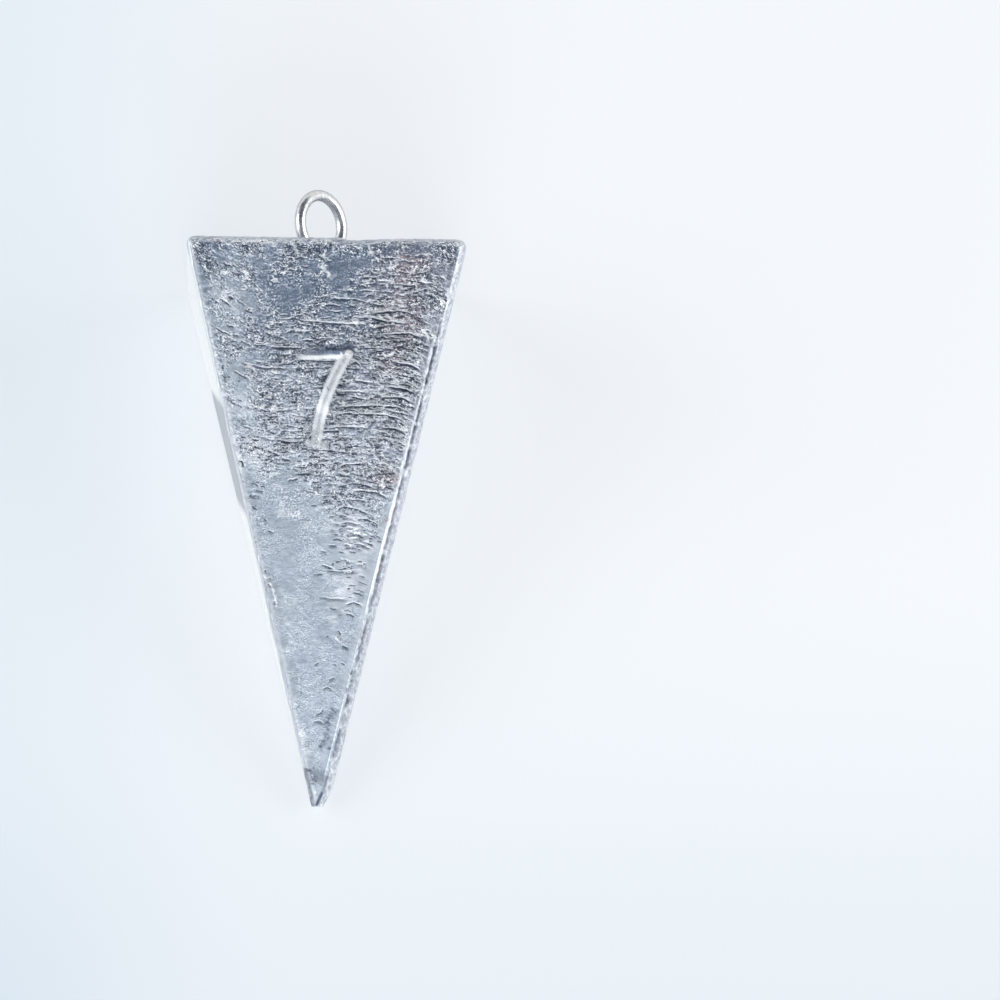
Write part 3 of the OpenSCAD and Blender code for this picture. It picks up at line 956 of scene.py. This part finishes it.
# %% Dark streaks, painted shade and painted glints
# The nose is trimmed later, so what is drawn near its end is drawn in trimmed places
depth = -sharp[:, 2]
trim = share_of((depth - (NOSE_END - TRIM_LENGTH)) / TRIM_LENGTH) ** 2
trimmed = 1 - (HALF_NOSE - TRIM_REACH) * trim / half_at(depth)
nose_u = np.where(u > 0, u * trimmed, u)
# (start u, w, end u, w, half width, how dark)
NOSE_STREAKS = [
    (-1.75, 55.8, -1.2, 58.9, 0.3, 0.75), (-1.6, 55.7, -1, 55.9, 0.12, 0.9),
    (-0.85, 59.45, -0.35, 59.55, 0.12, 0.8), (0.75, 56.6, 0.25, 58.3, 0.22, 0.45),
    (0.2, 58.2, -0.35, 59.5, 0.17, 0.95), (-0.9, 56.65, -0.4, 57, 0.06, 0.9),
    (-0.9, 57.25, -0.5, 57.3, 0.06, 0.9), (-0.7, 55.6, -0.65, 55.65, 0.09, 0.8),
    (0.05, 57.3, 0.1, 57.4, 0.07, 0.7),
]
for *ends, reach, darkness in NOSE_STREAKS:
    distance = near_line(nose_u, w, pairs(ends))[0]
    dark = darkness * np.exp(-((distance / reach) ** 4))
    shade_and_dark_marks = np.maximum(shade_and_dark_marks, dark * (at_seam | on_front))
nose_stripe = smooth(from_left, 0.55, 0.3) * smooth(w, 55.5, 55.9) * at_seam
shade_and_dark_marks = np.maximum(shade_and_dark_marks, 0.8 * nose_stripe * mottled)
speckled = np.clip(0.5 + 1.2 * mottle(0.3, 29, 2), 0.1, 1)
# The streak above the numeral's bar is a painted shadow, and the long one under the rim on the
# right is painted shade
# (start u, w, end u, w, half width, how dark)
STREAKS = [
    (-4.2, 1.65, -0.2, 1.7, 0.38, 0.75), (4.6, 1.35, 9.8, 1.45, 0.55, 0.9),
    (-1.2, 11.5, 2.6, 11.4, 0.26, 1), (1.45, 13.7, 1.5, 13.9, 0.09, 0.8),
    (1.05, 14.5, 1.15, 14.75, 0.09, 0.8), (0.35, 15.7, 0.45, 15.95, 0.09, 0.8),
    (-9, 6.5, -6.6, 8.9, 0.16, 0.45), (-7, 1.2, -5.2, 2, 0.2, 0.45),
    (-6.2, 12.9, -4.4, 13, 0.35, 0.5), (1.35, 49.6, 0.9, 51, 0.35, 1),
    (0.9, 51, 0.2, 53.2, 0.4, 0.9), (-12.9, 2.2, -11.6, 1, 0.5, 0.4),
    (-6.15, 36, -5.5, 38.2, 0.16, 0.4), (-7.3, 28.2, -7, 28.4, 0.16, 0.9),
    (12.9, 2, 12, 6.5, 0.3, 0.3), (1.2, 52.8, 1, 53.6, 0.2, 0.9),
]
streak_u, streak_w = loose_u * 0.5 + u * 0.5, loose_w * 0.3 + w * 0.7
for *ends, reach, darkness in STREAKS:
    dark = darkness * speckled * bell(near_line(streak_u, streak_w, pairs(ends))[0], reach)
    shade_and_dark_marks = np.maximum(shade_and_dark_marks, dark * numbered)
# Painted glints, drawn white into the same mask as the wear
# (start u, w, end u, w, half width)
GLINT_MARKS = [
    (4.3, 0.9, 4.6, 1.8, 0.16), (4.6, 1.8, 5.2, 2.5, 0.14), (0.6, 0.8, 0.7, 1.8, 0.13),
    (-0.6, 2.8, 0.3, 4.2, 0.14), (-1, 3.2, -0.2, 3.4, 0.1), (6.5, 2.5, 6.4, 3.4, 0.08),
    (9.9, 1.8, 10.5, 2.2, 0.16), (11.2, 3.2, 11.6, 2.6, 0.12), (-10.3, 0.9, -9.6, 0.8, 0.2),
    (-6.4, 1, -5.2, 0.8, 0.22), (-3.6, 1, -3.3, 1.7, 0.15), (-4.3, 3.9, -4.1, 3.7, 0.15),
    (12, 4.1, 12.5, 4.6, 0.12), (3, 9, 3.3, 9.4, 0.12), (8.9, 9.1, 9.5, 9.5, 0.16),
    (10.1, 10.1, 10.6, 10.7, 0.16), (-8, 13.6, -7.2, 14.3, 0.2), (2.6, 12.4, 3.3, 13, 0.1),
    (-4.7, 26, -4.4, 26.9, 0.07), (0.9, 25.6, 1, 26.8, 0.08), (-6.1, 35.3, -5.2, 36.8, 0.1),
    (-5.2, 36.8, -4.75, 38.8, 0.16), (-9.1, 22.6, -8.6, 23.3, 0.2), (-8.8, 24, -8.5, 24.6, 0.16),
    (1.6, 42.2, 2, 42.4, 0.14), (-0.5, 57.8, -0.45, 58.3, 0.12),
]
mark_u, mark_w = loose_u * 0.4 + u * 0.6, loose_w * 0.4 + w * 0.6
for *ends, reach in GLINT_MARKS:
    distance = near_line(mark_u, mark_w, pairs(ends))[0]
    thin = np.exp(-((distance / (0.7 * reach)) ** 4))
    wear_and_highlight = np.maximum(wear_and_highlight, 0.9 * np.sqrt(speckled) * thin * numbered)

# %% Tarnish, brown where it is above nothing and blue where it is below
# (u, w, reach across, reach along)
BROWN = [
    (8.5, 3.5, 2.6, 2.5), (8.0, 8.5, 3.0, 4.0), (7.0, 13.0, 2.0, 1.6), (-1.0, 12.0, 3.0, 0.5),
    (7.0, 29.8, 0.8, 0.4), (6.5, 25.0, 1.5, 1.5),
]
BLUE = [
    (-4.2, 6.6, 2.3, 2.3), (-11.0, 2.5, 2.5, 1.5), (-1.0, 3.0, 3.0, 2.0), (-9.0, 7.0, 5.0, 8.0),
]
tarnish = np.max([spot(loose_u, loose_w, *place) for place in BROWN], axis=0)
for place in BLUE:
    tarnish -= 0.8 * spot(loose_u, loose_w, *place)
tarnish = np.maximum(tarnish, 0.45 * smooth(u, 2, 7) * smooth(w, 24, 17) * smooth(w, 1, 3))
tarnish *= numbered

# %% Push the numbered face
inside = smooth(np.minimum(from_left, from_right), 0.0, 0.35) * smooth(w, 0.0, 0.8)
relief *= numbered * np.where(panel < -0.02, 1, inside)
relief = np.minimum(relief, -0.04 + 0.5 * smooth(w, 2.5, 7))
points += relief[:, None] * NORMALS["numbered"]

# %% [markdown]
# ## Rim, base, flash and plain sides
# The rim of the base froze first and is uneven, with a dent beside one leg of the wire. The base,
# which the photograph hides, gets what such castings have: a shallow shrink hollow, and lead that
# creeps up round both legs. Thin flash stands on the two parting edges, and the plain sides sag.

# %% Rim and base
UNEVEN, DENT_DEPTH = 0.05, 0.24
HOLLOW_DEPTH, HOLLOW_REACH, HOLLOW_X, HOLLOW_Y = 0.25, 5.5, -3.5, 3.5
CREEP_HEIGHT, CREEP_REACH = 0.3, 0.4
above = smooth(sharp[:, 2], -1.4, -0.1)
uneven = UNEVEN * np.clip(0.5 + clouds(sharp * (1, 1, 0.3), 0.6, 31), 0, 2)
front_rim = smooth(sharp[:, 1], -HALF_BASE + 3, -HALF_BASE + 0.8)
dent = DENT_DEPTH * smooth(u, 1.7, 2.1) * smooth(u, 8.5, 2.2)
points[:, 2] -= above * (uneven + dent * front_rim)
on_base = on_side("base")


def off_axis(x, y):
    """Distance of every point from a line that stands on the base."""
    return np.hypot(sharp[:, 0] - x, sharp[:, 1] - y)


points[on_base, 2] -= HOLLOW_DEPTH * bell(off_axis(HOLLOW_X, HOLLOW_Y), HOLLOW_REACH)[on_base]
for side in (-1, 1):
    leg_x = side * LEG_HALF * math.cos(LOOP_TURN) - EYE_OFFSET
    leg_y = side * LEG_HALF * math.sin(LOOP_TURN)
    out = np.maximum(off_axis(leg_x, leg_y) - WIRE_RADIUS, 0)
    points[on_base, 2] += CREEP_HEIGHT * bell(out, CREEP_REACH)[on_base]

# %% Flash and plain sides
FLASH_LOW, FLASH_MORE, SAG = 0.02, 0.11, 0.05
fin = FLASH_LOW + FLASH_MORE * share_of(clouds(sharp * (1, 1, 0.6), 1.7, 41) - 0.05)
fin *= smooth(sharp[:, 2], -2.5, -5) * smooth(sharp[:, 2], -52, -48)
for name, outward in (("front_seam", NORMALS["front_seam"]), ("back_seam", np.array((1, 0, 0)))):
    points += (fin * on_side(name))[:, None] * outward
for k, name in enumerate(("left", "right", "back")):
    on_it = on_side(name)
    sag = np.zeros(count)
    sag[on_it] = SAG + SAG * clouds(sharp[on_it], 6.0, 50 + k, 2)
    sag[on_it] += 0.02 * clouds(sharp[on_it] * (1, 1, 0.5), 1.5, 60 + k)
    sag = np.maximum(sag, 0) * smooth(to_edge, 0.2, 3.0)
    points -= sag[:, None] * NORMALS[name]

# %% Nose
half = half_at(depth)
sweep = share_of((depth - (NOSE_END - SWEEP_LENGTH)) / SWEEP_LENGTH) ** 2
sweep_amount = 2 * HALF_NOSE - NOSE_THICKNESS
points[:, 1] = -half + (points[:, 1] + half) * (1 - sweep_amount * sweep / (2 * half))
right_half = points[:, 0] > 0
points[right_half, 0] *= trimmed[right_half]
print("farthest move:", round(np.abs(points - sharp).max(), 2), "mm, at the nose")

# %% Masks on the points
lead.vertices.foreach_set("co", points.astype(np.float32).ravel())
# On the left side the pale mask sets how strongly the painted reflection of the floor shows,
# weaker along a stretch part way down
on_left = on_side("left") & ~numbered
dim_reflection = smooth(w, 17.3, 18.3) * smooth(w, 30.0, 28.5)
pale = np.where(on_left, 1 - 0.95 * dim_reflection, pale * numbered)
MASKS = {
    "crest": np.clip(0.6 * wrinkles / 0.045 + 0.4 * grain / 0.04, -1.8, 1.6),
    "pale": np.clip(pale, 0, 1.5),
    "grainy": np.where(numbered, grainy, np.where(on_base, 0.8, 0.14)),
    "wear_and_highlight": share_of(wear_and_highlight),
    "shade_and_dark_marks": share_of(shade_and_dark_marks),
    # The numeral's painted highlight, then its painted shade
    "numeral": shine,
    "numeral_shade": numeral_shade,
    "tarnish": np.clip(tarnish, -1, 1),
    "dim_reflection": dim_reflection * on_left,
    "line_at": np.clip(line_at, -0.5, 0.5),
    "line_shade": share_of(line_shade) * (1 - on_numeral),
    "line_highlight": share_of(line_highlight) * (1 - on_numeral),
}
for name, values in MASKS.items():
    layer = lead.attributes.new(name, "FLOAT", "POINT")
    layer.data.foreach_set("value", values.astype(np.float32))
print("masks:", ", ".join(MASKS))

# %% Places on the skin, and the finished casting
# The lift keeps the casting's lowest points from standing under the floor
SIDE_SPACING, LIFT = 40, 0.001
uv = lead.uv_layers.new(name="skin")
corner_point = np.empty(len(lead.loops), np.int32)
lead.loops.foreach_get("vertex_index", corner_point)
corner_side = np.repeat(face_side, 3)
skin_place = np.zeros((len(lead.loops), 2))
for k, name in enumerate(SIDE_NAMES):
    across, along = side_axes(name)
    here = corner_side == k
    at = sharp[corner_point[here]]
    skin_place[here, 0] = at @ np.array(across) + SIDE_SPACING * k
    skin_place[here, 1] = top_end - at @ np.array(along)
on_flow = corner_side == SIDE_NAMES.index("numbered")
skin_place[on_flow, 1] = flow[corner_point[on_flow]]
uv.data.foreach_set("uv", skin_place.astype(np.float32).ravel())

# In the order of the sides: 0 is the numbered lead, 1 the plain lead and 2 the bevels' lead
slot_of_side = np.array([0, 1, 1, 1, 2, 2, 1, 1, 1, 1])
lead.polygons.foreach_set("material_index", slot_of_side[face_side])
lead.transform(Matrix.Translation((0, 0, LIFT * MM)) @ LAID)
lead.shade_smooth()
lead.update()

lead_object = add_object("lead_casting", lead)
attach(lead_object, "root")
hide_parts("lead_body")

# %% [markdown]
# ## Metals
# One effect makes the cast skin of all three kinds of lead: from a place on the skin it puts out
# where it gets painted glints, where it gets painted shade and how high it stands. Each metal then
# lays its own colours over one another, from the bare lead up to the painted shade and dark marks,
# and the worn edges with their painted highlights.


# %% Cast skin, the effect
def speckle(vector, across, along, scale, detail, roughness=0.55, distortion=0.0):
    """Noise in the plane of the skin, finer across or along it."""
    tree = vector.id_data
    scaled = node(tree, "ShaderNodeMapping", {"Vector": vector, "Scale": (across, along, 1)})
    inputs = {"Vector": scaled.outputs[0], "Scale": scale, "Detail": detail}
    inputs.update({"Roughness": roughness, "Distortion": distortion})
    return node(tree, "ShaderNodeTexNoise", inputs, noise_dimensions="2D").outputs["Fac"]


cast_skin = bpy.data.node_groups.new("cast_skin", "ShaderNodeTree")
cast_skin.interface.new_socket("Place", in_out="INPUT", socket_type="NodeSocketVector")
for label, value in (("Grain", 0.5), ("Crest", 0.0), ("Lines", 0.5)):
    socket = cast_skin.interface.new_socket(label, in_out="INPUT", socket_type="NodeSocketFloat")
    socket.default_value = value
for label in ("Bright", "Dark", "Height"):
    cast_skin.interface.new_socket(label, in_out="OUTPUT", socket_type="NodeSocketFloat")
entry = node(cast_skin, "NodeGroupInput").outputs
place = entry["Place"]
coarse = speckle(place, 0.8, 1.6, 1.7, 4.0, 0.7)
fine = speckle(place, 0.95, 1.3, 4.8, 3.0, 0.75)
patch = speckle(place, 1.0, 1.0, 0.42, 1.0)
gain = times(entry["Grain"], fade(patch, 0.36, 0.62, 0.4, 1.3))
level = plus(times(coarse, 0.35), times(fine, 0.65))
# Each wrinkle's ridge leans the level towards a painted glint, and its furrow towards painted
# shade
level = plus(level, times(entry["Crest"], 0.06))
flake = times(fade(speckle(place, 1.0, 1.3, 1.05, 4.0, 0.7, 0.6), 0.59, 0.65), gain)
# Painted glints: the highest grain and the flakes come out white in the colour
bright = plus(times(fade(level, 0.512, 0.62), gain), times(flake, 0.7), clamp=True)
fold = size_of(minus(speckle(place, 0.5, 2.3, 1.0, 2.0, 0.5, 0.3), 0.5))
gate = fade(speckle(place, 1.0, 2.0, 0.6, 2.0), 0.48, 0.6)
fold = times(times(fade(fold, 0.028, 0.006), gate), entry["Lines"])
# Painted shade: the lowest grain and the fold lines come out dark in the colour
dark = plus(times(fade(level, 0.485, 0.415), gain), fold, clamp=True)
height = minus(times(minus(level, 0.5), gain), times(fold, 0.06))
height = plus(height, times(flake, 0.04))
node(cast_skin, "NodeGroupOutput", {"Bright": bright, "Dark": dark, "Height": height})


# %% Helpers for the metals
def new_metal(name):
    """A material, the masks that were drawn on its points, and its place on the skin."""
    material, tree = new_material(name)
    drawn = {
        mask: node(tree, "ShaderNodeAttribute", attribute_name=mask).outputs["Fac"]
        for mask in MASKS
    }
    return material, drawn, node(tree, "ShaderNodeUVMap", uv_map="skin").outputs["UV"]


def skinned(place, grain, crest, lines):
    """Where the cast skin is bright, where it is dark, and its height."""
    inputs = {"Place": place, "Grain": grain, "Crest": crest, "Lines": lines}
    return node(place.id_data, "ShaderNodeGroup", inputs, node_tree=cast_skin).outputs[:3]


def covered(colour, *coats):
    """Lays coats over a colour, each a mask, its strength and its own colour."""
    for mask, strength, coat in coats:
        colour = blend(times(mask, strength), colour, coat)
    return colour


def finish_metal(mesh, material, looks, height, strength, distance):
    """Fills the shader, roughens it with a bump, and puts the metal on a mesh."""
    tree = material.node_tree
    inputs = {"Height": height, "Strength": strength, "Distance": distance}
    bump = node(tree, "ShaderNodeBump", inputs)
    fill(tree.nodes["Principled BSDF"], {**looks, "Normal": bump.outputs["Normal"]})
    mesh.materials.append(material)


FOLD_SHADE, DARK_MARK_SHADE = (0.035, 0.05, 0.08), (0.06, 0.08, 0.12)
GLINT_WHITE, WORN_AND_GLINT_WHITE = (0.86, 0.87, 0.9), (0.94, 0.95, 0.96)
LEAD_METALLIC = 0.85

# %% Numbered lead
material, drawn, place = new_metal("lead_numbered")
tarnish_mask, pale_mask, grain_here = drawn["tarnish"], drawn["pale"], drawn["grainy"]
in_wrinkles = fade(grain_here, 0.4, 0.9, 0.15, 0.7)
bright, dark, height = skinned(place, grain_here, drawn["crest"], in_wrinkles)
rust = fade(speckle(place, 0.9, 1.2, 2.6, 2.0), 0.53, 0.6)
# A painted highlight along each wrinkle's ridge, and painted shade in the furrow below it
above_line = fade(size_of(plus(drawn["line_at"], 0.03)), 0.1, 0.04)
below_line = fade(size_of(minus(drawn["line_at"], 0.12)), 0.14, 0.07)
colour = covered(
    # Painted light over the lead's own tone: darker at the base, paler towards the nose, palest by
    # the seam
    blend(pale_mask, (0.125, 0.165, 0.23), (0.395, 0.445, 0.515)),
    (fade(pale_mask, 0.95, 1.4), 0.8, (0.75, 0.79, 0.82)),
    (times(tarnish_mask, fade(bright, 0.5, 0.0)), 0.6, (0.27, 0.215, 0.235)),
    (times(rust, fade(tarnish_mask, 0.4, 0.9)), 0.75, (0.30, 0.17, 0.17)),
    (dark, 0.92, FOLD_SHADE),
    (bright, 0.97, (0.95, 0.975, 1.0)),
    (fade(tarnish_mask, 0.0, -1.0), 0.3, (0.15, 0.25, 0.42)),
    (times(above_line, drawn["line_highlight"]), 0.85, (0.9, 0.93, 0.97)),
    (times(below_line, drawn["line_shade"]), 0.97, FOLD_SHADE),
    # Painted shade, and then the painted highlight, on the numeral's flanks
    (drawn["numeral_shade"], 0.85, (0.17, 0.225, 0.33)),
    (drawn["numeral"], 0.95, (0.95, 0.97, 0.99)),
    (drawn["shade_and_dark_marks"], 0.95, (0.05, 0.07, 0.115)),
    (drawn["wear_and_highlight"], 0.9, WORN_AND_GLINT_WHITE),
)
looks = {
    "Base Color": colour,
    # Less metallic under the numeral's painted highlight, so that it stays white
    "Metallic": fade(drawn["numeral"], 0.4, 1.0, LEAD_METALLIC, 0.2),
    "Roughness": fade(bright, 0.0, 1.0, 0.4, 0.26),
}
finish_metal(lead, material, looks, height, 1.0, 0.00022)

# %% Plain lead
material, drawn, place = new_metal("lead_plain")
bright, dark, height = skinned(place, drawn["grainy"], 0.0, 0.25)
drift = fade(speckle(place, 1.0, 0.6, 0.13, 4.0), 0.35, 0.65)
streaks = fade(speckle(place, 2.6, 0.3, 0.9, 4.0), 0.48, 0.7)
scratches = fade(speckle(place, 2.0, 0.35, 1.7, 2.0), 0.66, 0.74)
on_flat = fade(drawn["grainy"], 0.6, 0.3)
# Seen along its surface, even matte lead mirrors the white ground; that reflection is painted into
# the colour where a side is seen at a grazing angle, dimmer and greyer along a stretch of the left
# side
facing = node(material.node_tree, "ShaderNodeLayerWeight", {"Blend": 0.5}).outputs["Facing"]
grazing = fade(facing, 0.80, 0.93)
painted_reflection = times(drawn["pale"], grazing)
colour = covered(
    blend(drift, (0.50, 0.53, 0.59), (0.62, 0.645, 0.715)),
    (times(streaks, on_flat), 0.35, (0.78, 0.80, 0.86)),
    (times(scratches, on_flat), 0.5, (0.27, 0.28, 0.32)),
    (bright, 0.6, GLINT_WHITE),
    (dark, 0.6, (0.14, 0.15, 0.18)),
    (painted_reflection, 1.0, (1.0, 0.99, 0.96)),
    (times(drawn["dim_reflection"], grazing), 0.5, (0.24, 0.25, 0.24)),
    (drawn["shade_and_dark_marks"], 0.9, DARK_MARK_SHADE),
    (drawn["wear_and_highlight"], 0.7, (0.92, 0.93, 0.94)),
)
looks = {
    "Base Color": colour,
    "Metallic": LEAD_METALLIC,
    "Roughness": fade(painted_reflection, 0.0, 1.0, 0.38, 0.25),
}
finish_metal(lead, material, looks, height, 0.8, 0.00016)

# %% Bevel lead
material, drawn, place = new_metal("lead_band")
bright, dark, height = skinned(place, 0.35, 0.0, 0.2)
spots = fade(speckle(place, 1.0, 0.8, 2.4, 4.0, 0.65), 0.38, 0.62)
colour = covered(
    blend(spots, (0.37, 0.39, 0.44), (0.66, 0.69, 0.75)),
    (bright, 0.6, GLINT_WHITE),
    (dark, 0.7, (0.16, 0.17, 0.21)),
    (drawn["shade_and_dark_marks"], 0.95, DARK_MARK_SHADE),
    (drawn["wear_and_highlight"], 0.85, WORN_AND_GLINT_WHITE),
)
looks = {"Base Color": colour, "Metallic": LEAD_METALLIC, "Roughness": 0.4}
finish_metal(lead, material, looks, height, 0.6, 0.00015)

# %% [markdown]
# ## The wire eye
# The eye is one bright wire: a round loop that closes below its middle, two short necks, and two
# legs that run straight down into the lead and splay at their ends. Sweeping one ring of points
# along that path makes it: spun round each bend, and pushed along each straight. The part inside
# the lead is made too, because the piece stands for the whole node. The wire is drawn a hair thin,
# so that it stays inside its node.

# %% Sweep the wire
RING_POINTS, THINNER = 32, 0.005
DRAWN_RADIUS = WIRE_RADIUS - THINNER
wire = bmesh.new()


def parts(made, kind):
    """The points or the edges among what a mesh tool made."""
    return [g for g in made if isinstance(g, kind)]


class Sweep:
    """A ring of edges that travels in the loop's plane, leaving a tube behind it."""

    def __init__(self, start, heading):
        ring = bmesh.ops.create_circle(
            wire, segments=RING_POINTS, radius=DRAWN_RADIUS, cap_ends=True
        )["verts"]
        self.heading, self.place = heading, Vector((*start, 0))
        aim = Matrix.Translation(self.place) @ Matrix.Rotation(heading - math.pi / 2, 4, "Z")
        aim = aim @ Matrix.Rotation(math.pi / 2, 4, "X")
        bmesh.ops.transform(wire, matrix=aim, verts=ring)
        self.ring = list({edge for vert in ring for edge in vert.link_edges})

    def straight(self, length):
        """Runs on straight ahead."""
        made = bmesh.ops.extrude_edge_only(wire, edges=self.ring)["geom"]
        step = Vector((math.cos(self.heading), math.sin(self.heading), 0)) * length
        verts = parts(made, bmesh.types.BMVert)
        bmesh.ops.translate(wire, vec=step, verts=verts)
        edges = parts(made, bmesh.types.BMEdge)
        self.ring = [edge for edge in edges if all(vert in verts for vert in edge.verts)]
        self.place += step

    def bend(self, radius, turn, steps):
        """Turns left by a positive angle, right by a negative one."""
        side = math.copysign(1, turn)
        out = Vector((-math.sin(self.heading), math.cos(self.heading), 0)) * side
        centre = self.place + out * radius
        made = bmesh.ops.spin(
            wire, geom=self.ring, cent=centre, axis=(0, 0, side), angle=abs(turn), steps=steps,
            use_merge=False, use_duplicate=False,
        )
        self.ring = parts(made["geom_last"], bmesh.types.BMEdge)
        self.place = centre + Matrix.Rotation(turn, 3, "Z") @ (self.place - centre)
        self.heading += turn


bend_centre = Vector((LEG_HALF + FOOT_RADIUS, -LEG_DEPTH))
heel = bend_centre - FOOT_RADIUS * Vector((math.cos(FOOT_SPLAY), math.sin(FOOT_SPLAY)))
toe = heel + FOOT_LENGTH * Vector((math.sin(FOOT_SPLAY), -math.cos(FOOT_SPLAY)))
swept = Sweep(toe, math.pi / 2 + FOOT_SPLAY)
HALF_PATH = [
    (swept.straight, (FOOT_LENGTH,)),
    (swept.bend, (FOOT_RADIUS, -FOOT_SPLAY, 8)),
    (swept.straight, (LEG_DEPTH + LEG_TOP,)),
    (swept.bend, (NECK_RADIUS, -NECK_TURN, 10)),
]
ROUND_THE_LOOP = (swept.bend, (LOOP_RADIUS, math.pi + 2 * NECK_TURN, 80))
for move, sizes in (*HALF_PATH, ROUND_THE_LOOP, *reversed(HALF_PATH)):
    move(*sizes)
bmesh.ops.contextual_create(wire, geom=swept.ring)
bmesh.ops.remove_doubles(wire, verts=wire.verts, dist=0.001)
bmesh.ops.recalc_face_normals(wire, faces=wire.faces)
print("wire ends at", [round(x, 3) for x in swept.place], "mm,", len(wire.faces), "faces")

wire_mesh = bpy.data.meshes.new("eye_wire")
wire.to_mesh(wire_mesh)
wire.free()
in_loop_plane = (
    Matrix.Translation((-EYE_OFFSET, 0, 0))
    @ Matrix.Rotation(LOOP_TURN, 4, "Z")
    @ Matrix.Rotation(math.pi / 2, 4, "X")
)
wire_mesh.transform(LAID @ in_loop_plane)
wire_mesh.shade_smooth()
wire_object = add_object("eye_wire", wire_mesh)
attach(wire_object, "root")
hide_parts("wire_eye")

# %% Bright wire
material, tree = new_material("bright_wire")
place = node(tree, "ShaderNodeTexCoord").outputs["Object"]
inputs = {"Vector": place, "Scale": 2500, "Detail": 3.0}
scuffs = node(tree, "ShaderNodeTexNoise", inputs).outputs["Fac"]
looks = {
    "Base Color": blend(fade(scuffs, 0.4, 0.7), (0.70, 0.70, 0.69), (0.84, 0.84, 0.83)),
    "Metallic": 1.0,
    "Specular Tint": (0.45, 0.47, 0.48, 1),
    "Roughness": fade(scuffs, 0.35, 0.7, 0.22, 0.34),
}
finish_metal(wire_mesh, material, looks, scuffs, 0.2, 0.00002)
